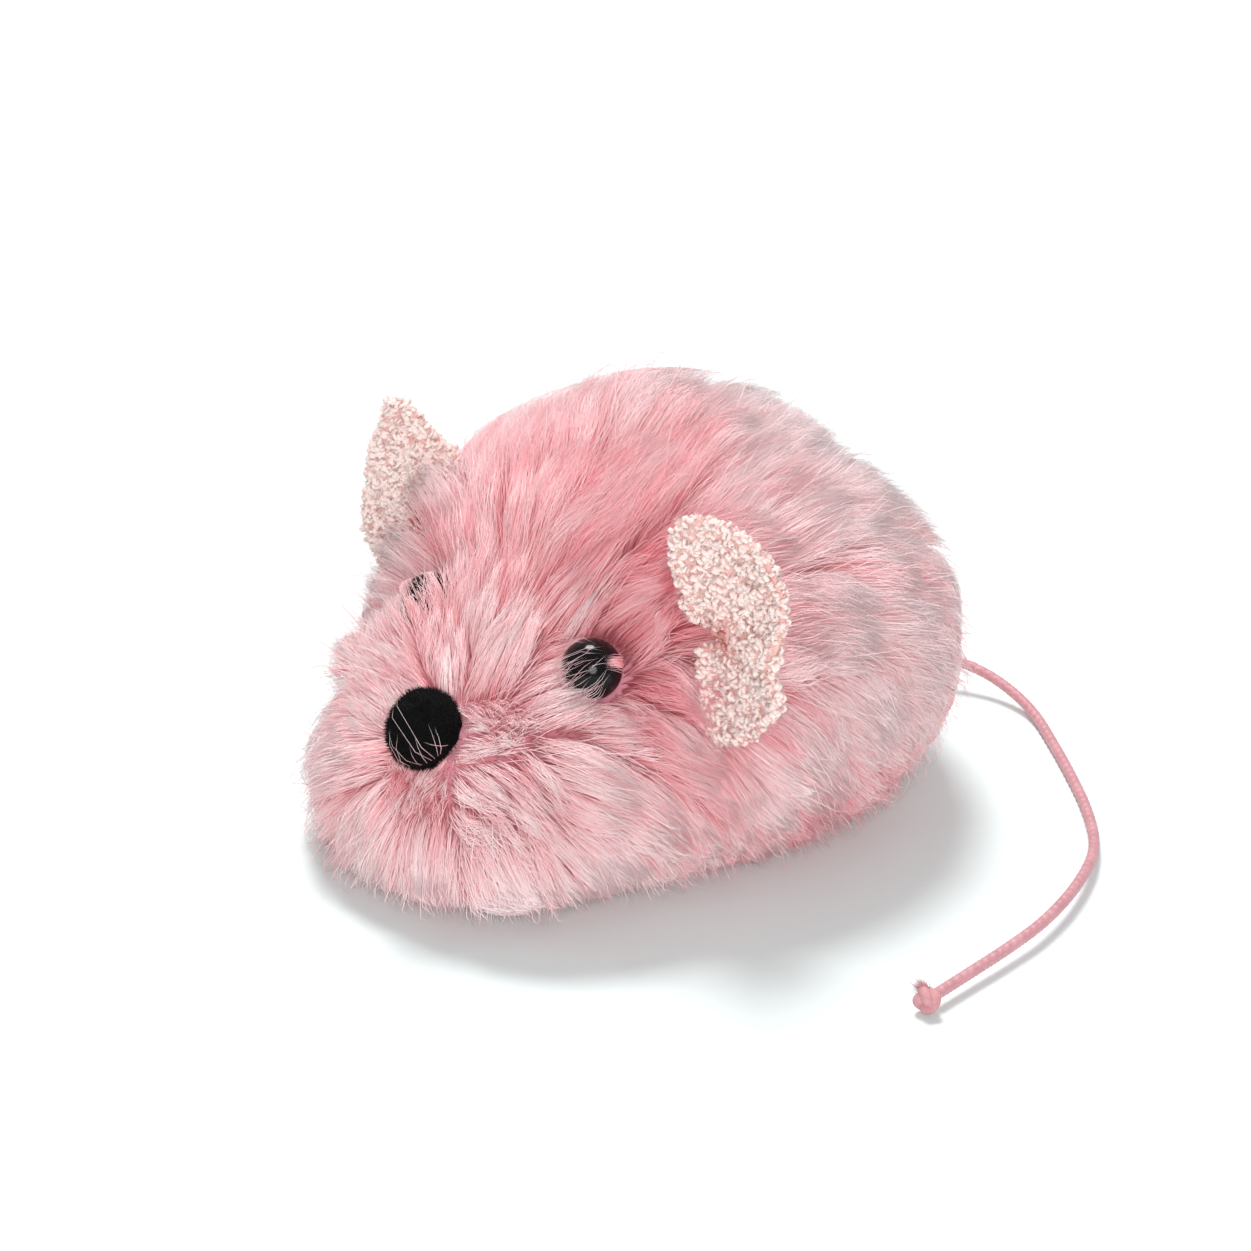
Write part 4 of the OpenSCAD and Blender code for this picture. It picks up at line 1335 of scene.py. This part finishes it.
@dataclass
class Ear:
    """An ear of looped cotton cloth, pinched at its root, in millimetres from that root."""

    root: Point = (25.5, -13.8, 39.4)
    folded_rim: tuple[Point, ...] = (
        (-0.8, 1.2, 1.2),
        (-2.2, 3.0, 4.6),
        (-3.6, 4.0, 8.4),
        (-0.4, 1.4, 13.6),
        (3.6, -1.2, 18.0),
        (5.0, -1.6, 15.6),
        (8.0, -1.3, 8.6),
        (10.2, -0.9, 2.0),
        (11.8, -0.4, -4.0),
        (8.6, -0.6, -8.2),
        (4.4, -0.8, -8.6),
        (1.4, -0.5, -3.6),
    )
    open_rim: tuple[Point, ...] = (
        (-1.0, -0.6, 1.6),
        (-1.6, -1.6, 5.5),
        (-2.6, -2.8, 12.0),
        (-1.2, -2.6, 15.6),
        (2.4, -1.6, 17.0),
        (8.0, 1.2, 14.8),
        (11.9, 2.0, 10.8),
        (13.2, 2.4, 5.2),
        (12.6, 0.8, -2.2),
        (13.6, 0.5, -7.0),
        (8.7, 0.0, -12.8),
        (4.6, 0.0, -15.0),
        (2.0, 0.0, -14.0),
        (0.2, 0.0, -7.9),
        (0.6, 0.2, -2.4),
    )
    steps_out: int = 16
    steps_round: int = 56
    cloth: float = 0.9
    loops: int = 2300
    loop_size: float = 0.36
    yarn: float = 0.29
    fuzz: int = 9000
    # Reach of the painted shade round the pinched root.
    hollow: float = 3.0
    pinch: Point = (3.0, 1.0, -0.4)
    seed: int = 41

    def surface(self, side: Side) -> tuple[np.ndarray, np.ndarray]:
        """Points of the cloth's middle surface.

        Args:
            side: Which ear.

        Returns:
            Points as rows from root to rim, and the same grid's quads.
        """
        route = self.open_rim if side is Side.LEFT else self.folded_rim
        rim = spline_through(np.array(route), self.steps_round)
        out = np.linspace(0.06, 1, self.steps_out)[:, None, None]
        middle = self.middle(side)
        points = middle + (rim[None] - middle) * out
        share = np.linspace(0, 1, len(rim))[None, :]
        dish = np.sin(out[..., 0] * math.pi)
        fold = np.exp(-(((share - 0.56) / 0.06) ** 2)) * out[..., 0]
        ripple = np.sin(share * 9.0 + 0.6) * 0.5 * out[..., 0]
        points[..., 1] += 2.2 * dish * (0.5 - fold) + ripple + 1.6 * fold * (1 - out[..., 0])
        points += np.array(self.root)
        points[..., 0] *= side.value
        rows, columns = points.shape[:2]
        i, k = np.meshgrid(np.arange(rows - 1), np.arange(columns - 1), indexing="ij")
        a = i * columns + k
        quads = np.stack([a, a + 1, a + columns + 1, a + columns], -1).reshape(-1, 4)
        if side is Side.RIGHT:
            quads = quads[:, ::-1]
        return points.reshape(-1, 3) * MM, quads

    def build(self, side: Side) -> None:
        """Model and dress one ear.

        Args:
            side: Which ear.
        """
        points, quads = self.surface(side)
        cloth = from_arrays(f"{side.word}_ear_cloth", points, quads)
        modify(cloth, "SOLIDIFY", thickness=self.cloth * MM, offset=0)
        lumps = bpy.data.textures.new("ear_lumps", "CLOUDS")
        lumps.noise_scale = 1.4 * MM
        modify(cloth, "SUBSURF", levels=1, render_levels=1)
        modify(cloth, "DISPLACE", texture=lumps, strength=0.35 * MM, mid_level=0.5)
        EAR_CLOTH.put_on(cloth)
        loops = self.pile(cloth, side)
        fuzz = self.down(cloth, side)
        TERRY.put_on(loops, fuzz)
        for piece in (cloth, loops, fuzz):
            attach(piece, BODY)
        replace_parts(cloth, f"{side.word}_ear")

    def middle(self, side: Side) -> np.ndarray:
        """Point where the cloth is pinched together, from the ear's root."""
        return np.array(self.pinch) if side is Side.LEFT else np.zeros(3)

    def hollow_shade(self, place: np.ndarray, side: Side) -> np.ndarray:
        """Painted shade of the hollow: how much deeper the dye is made near the pinched root.

        Args:
            place: Places on the ear, in metres.
            side: Which ear.

        Returns:
            Addition to the dye depth, as painted shade.
        """
        root = (np.array(self.root) + self.middle(side)) * (side.value, 1, 1)
        far = np.linalg.norm(place / MM - root, axis=-1)
        return 0.75 * np.exp(-((far / self.hollow) ** 2))

    def down(self, cloth: bpy.types.Object, side: Side) -> bpy.types.Object:
        """Model the short fuzz that stands between the loops.

        Args:
            cloth: The ear's cloth.
            side: Which ear.

        Returns:
            The fuzz, as one piece with its tint layer.
        """
        random = np.random.default_rng(self.seed + 10 + side.value)
        mesh = cloth.data
        areas = np.array([p.area for p in mesh.polygons])
        pick = random.choice(len(areas), self.fuzz, p=areas / areas.sum())
        centre = np.array([mesh.polygons[face].center for face in pick])
        normal = np.array([mesh.polygons[face].normal for face in pick])
        foot = centre + random.normal(0, 0.2, centre.shape) * MM
        way = unit(normal + random.normal(0, 0.5, normal.shape))
        tip = foot + way * random.uniform(0.6, 1.3, len(pick))[:, None] * MM
        piece = spikes(f"{side.word}_ear_fuzz", np.stack([foot, tip], 1), 0.05 * MM)
        # Painted shade: the fuzz darkens towards the hollow at the pinched root.
        tint = np.clip(random.normal(0.12, 0.08, len(pick)) + self.hollow_shade(foot, side), 0.02, 0.98)
        uv = np.stack([np.repeat(tint, 4), np.tile([0.5, 0.5, 0.5, 1.0], len(pick))], 1)
        corners = np.zeros(len(piece.data.loops), np.int32)
        piece.data.loops.foreach_get("vertex_index", corners)
        layer = piece.data.uv_layers.new(name=TINT_LAYER)
        layer.data.foreach_set("uv", uv[corners].astype(np.float32).ravel())
        return piece

    def pile(self, cloth: bpy.types.Object, side: Side) -> bpy.types.Object:
        """Model the cloth's loops: small arches of yarn all over both faces.

        Args:
            cloth: The ear's cloth.
            side: Which ear.

        Returns:
            The loops, as one piece with its tint layer.
        """
        random = np.random.default_rng(self.seed + side.value)
        mesh = cloth.data
        areas = np.array([p.area for p in mesh.polygons])
        pick = random.choice(len(areas), self.loops, p=areas / areas.sum())
        turn = np.linspace(0, math.pi * 1.15, 6) - 0.08 * math.pi
        sides = 4
        points, faces, uvs = [], [], []
        for number, face in enumerate(pick):
            polygon = mesh.polygons[face]
            normal = np.array(polygon.normal)
            spread = random.normal(0, 0.22, 3) * MM
            centre = np.array(polygon.center) + spread - normal * 0.05 * MM
            across = unit(np.cross(normal, random.normal(0, 1, 3)))
            size = self.loop_size * random.uniform(0.7, 1.25) * MM
            lean = np.cross(normal, across) * random.normal(0, 0.35)
            arch = centre + size * (
                np.cos(turn)[:, None] * across
                + np.sin(turn)[:, None] * unit(normal + lean) * random.uniform(0.8, 1.3)
            )
            thick = self.yarn * random.uniform(0.85, 1.25) * MM
            ring, quads = wire(arch, np.full(len(turn), thick), sides)
            base = number * len(ring)
            points.append(ring)
            faces.append(quads + base)
            # Painted shade: the loops darken towards the hollow at the pinched root.
            tint = np.clip(random.normal(0.24, 0.14) + self.hollow_shade(centre, side), 0.02, 0.98)
            rise = np.repeat(np.clip(np.sin(turn), 0.05, 1), sides)
            uvs.append(np.stack([np.full(len(ring), tint), 0.15 + 0.85 * rise], 1))
        uv = np.concatenate(uvs)
        quads = np.concatenate(faces)
        rings = len(turn)
        caps = []
        for number in range(self.loops):
            base = number * rings * sides
            caps.append([base + k for k in range(sides - 1, -1, -1)])
            caps.append([base + (rings - 1) * sides + k for k in range(sides)])
        caps = np.array(caps)
        flat = np.concatenate([quads.ravel(), caps.ravel()])
        starts = np.concatenate(
            [np.arange(len(quads)) * 4, len(quads) * 4 + np.arange(len(caps)) * sides]
        )
        piece = from_arrays(
            f"{side.word}_ear_loops", np.concatenate(points), flat, starts
        )
        layer = piece.data.uv_layers.new(name=TINT_LAYER)
        layer.data.foreach_set("uv", uv[flat].astype(np.float32).ravel())
        select_only(piece)
        bpy.ops.object.mode_set(mode="EDIT")
        bpy.ops.mesh.select_all(action="SELECT")
        bpy.ops.mesh.normals_make_consistent(inside=False)
        bpy.ops.object.mode_set(mode="OBJECT")
        return piece


def spline_through(route: np.ndarray, count: int) -> np.ndarray:
    """Points spaced along a Catmull-Rom spline.

    Args:
        route: The points that the spline passes through.
        count: How many points to give back.

    Returns:
        Points at equal shares of the spline's length.
    """
    padded = np.concatenate([route[:1], route, route[-1:]])
    dense = []
    for i in range(1, len(padded) - 2):
        a, b, c, d = padded[i - 1 : i + 3]
        for t in np.linspace(0, 1, 24, endpoint=False):
            dense.append(
                0.5 * (2 * b + (c - a) * t + (2 * a - 5 * b + 4 * c - d) * t**2
                       + (3 * b - a - 3 * c + d) * t**3)
            )
    dense = np.array([*dense, padded[-2]])
    reach = np.concatenate([[0], np.cumsum(np.linalg.norm(np.diff(dense, axis=0), axis=1))])
    at = np.linspace(0, reach[-1], count)
    return np.stack([np.interp(at, reach, dense[:, k]) for k in range(3)], 1)


# ---------------------------------------------------------------- tail


@dataclass
class Tail:
    """Waxed braided cord with a knotted end, in millimetres."""

    route: tuple[Point, ...] = (
        (0, 32.5, 8), (0, 40, 8), (0.5, 46, 7.5), (4, 53, 6.5), (9, 58, 5.2), (16, 60.5, 3.8),
        (22, 60.5, 2.4), (28, 58.5, 1.2), (35, 53.5, 0.9), (42.5, 47.5, 0.9), (50, 41, 0.9),
        (56.5, 34, 1.3), (61, 27, 2.1), (64.5, 18, 2.5), (66.5, 9, 2.5), (67, 1, 2.3),
        (67, -7, 2.1), (67, -14.4, 2),
    )
    diameter: float = 1.5
    outlet: Point = (0, 39.7, 8)
    knot_at: Point = (67, -16, 2)
    knot_reach: float = 1.75
    braid_pitch: float = 1.5
    braid_depth: float = 0.10
    ring_gap: float = 0.16
    sides: int = 16

    def cord(self) -> bpy.types.Object:
        """Model the cord: a tube with the raised strands of a round braid.

        Returns:
            The cord.
        """
        fine = spline_through(np.array(self.route), 4000)
        self.length = np.linalg.norm(np.diff(fine, axis=0), axis=1).sum()
        line = spline_through(np.array(self.route), int(self.length / self.ring_gap))
        at = np.linspace(0, self.length, len(line))[:, None]
        turn = np.linspace(0, 2 * math.pi, self.sides, endpoint=False)[None]
        one = np.cos(4 * turn / 2 + 2 * math.pi * at / self.braid_pitch)
        two = np.cos(4 * turn / 2 - 2 * math.pi * at / self.braid_pitch)
        radius = self.diameter / 2 * (1 + self.braid_depth * (np.maximum(one, two) - 0.5))
        rings, quads = wire(line, radius, self.sides)
        last = (len(line) - 1) * self.sides
        caps = np.array([range(self.sides - 1, -1, -1), range(last, last + self.sides)])
        flat = np.concatenate([quads.ravel(), caps.ravel()])
        starts = np.concatenate(
            [np.arange(len(quads)) * 4, len(quads) * 4 + np.arange(2) * self.sides]
        )
        piece = from_arrays("tail_braid", rings * MM, flat, starts)
        COTTON.put_on(piece)
        return piece

    def knot(self) -> bpy.types.Object:
        """Model the overhand knot: a strand wound over itself.

        Returns:
            The knot.
        """
        turn = np.linspace(0, 2 * math.pi, 90)
        wound = np.stack(
            [
                (1.0 + 0.35 * np.cos(3 * turn)) * np.cos(2 * turn),
                0.72 * np.sin(3 * turn),
                (1.0 + 0.35 * np.cos(3 * turn)) * np.sin(2 * turn),
            ],
            1,
        )
        wound = np.array(self.knot_at) + wound * 0.92
        rings, quads = wire(np.vstack([wound, wound[1]]), np.full(91, 0.70), 12)
        knot = from_arrays("tail_knot_strand", rings * MM, quads)
        select_only(knot)
        modify(knot, "REMESH", mode="VOXEL", voxel_size=0.12 * MM)
        smooth(knot, 180)
        KNOT_COTTON.put_on(knot)
        return knot

    def fray(self) -> bpy.types.Object:
        """Model the cut end's loose fibres.

        Returns:
            The fibres, as one piece.
        """
        random = np.random.default_rng(61)
        start = np.array(self.knot_at) + np.array([-0.5, 0.3, 0.9])
        ways = unit(np.array([-0.75, -0.15, 0.6]) + random.normal(0, 0.28, (160, 3)))
        foot = start + random.normal(0, 0.32, (160, 3))
        tips = foot + ways * random.uniform(0.9, 2.1, 160)[:, None]
        fibres = spikes("tail_fray", np.stack([foot, tips], 1) * MM, 0.06 * MM)
        KNOT_COTTON.put_on(fibres)
        return fibres

    def build(self) -> None:
        cord, knot, fray = self.cord(), self.knot(), self.fray()
        for piece in (cord, knot, fray):
            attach(piece, BODY)
        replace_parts(cord, "tail_cord")
        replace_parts(knot, "tail_knot")
        spline_through(np.array(self.route), 200) * MM
        log.info("tail: %.1f mm of cord", self.length)


# ---------------------------------------------------------------- motor, wheels and key


@dataclass
class Mechanism:
    """Finishes of the pieces that the frame already has in their right shapes."""

    def dress(self) -> None:
        """Give every frame node the finish of its material slot."""
        for part in frame["record"]["subparts"]:
            finish = BY_SLOT.get(part["material_slot"])
            if finish:
                finish.put_on(frame["nodes"][part["node"]])
                log.info("%s: %s", part["node"], finish.name)


def main() -> None:
    """Build the mouse and its studio, in order."""
    deselect()
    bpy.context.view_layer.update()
    studio = Studio()
    studio.camera()
    Tail().build()
    FurCoat().build()
    Face().build()
    for side in Side:
        Ear().build(side)
    Mechanism().dress()
    studio.floor()
    studio.light()


if __name__ == "__main__":
    main()
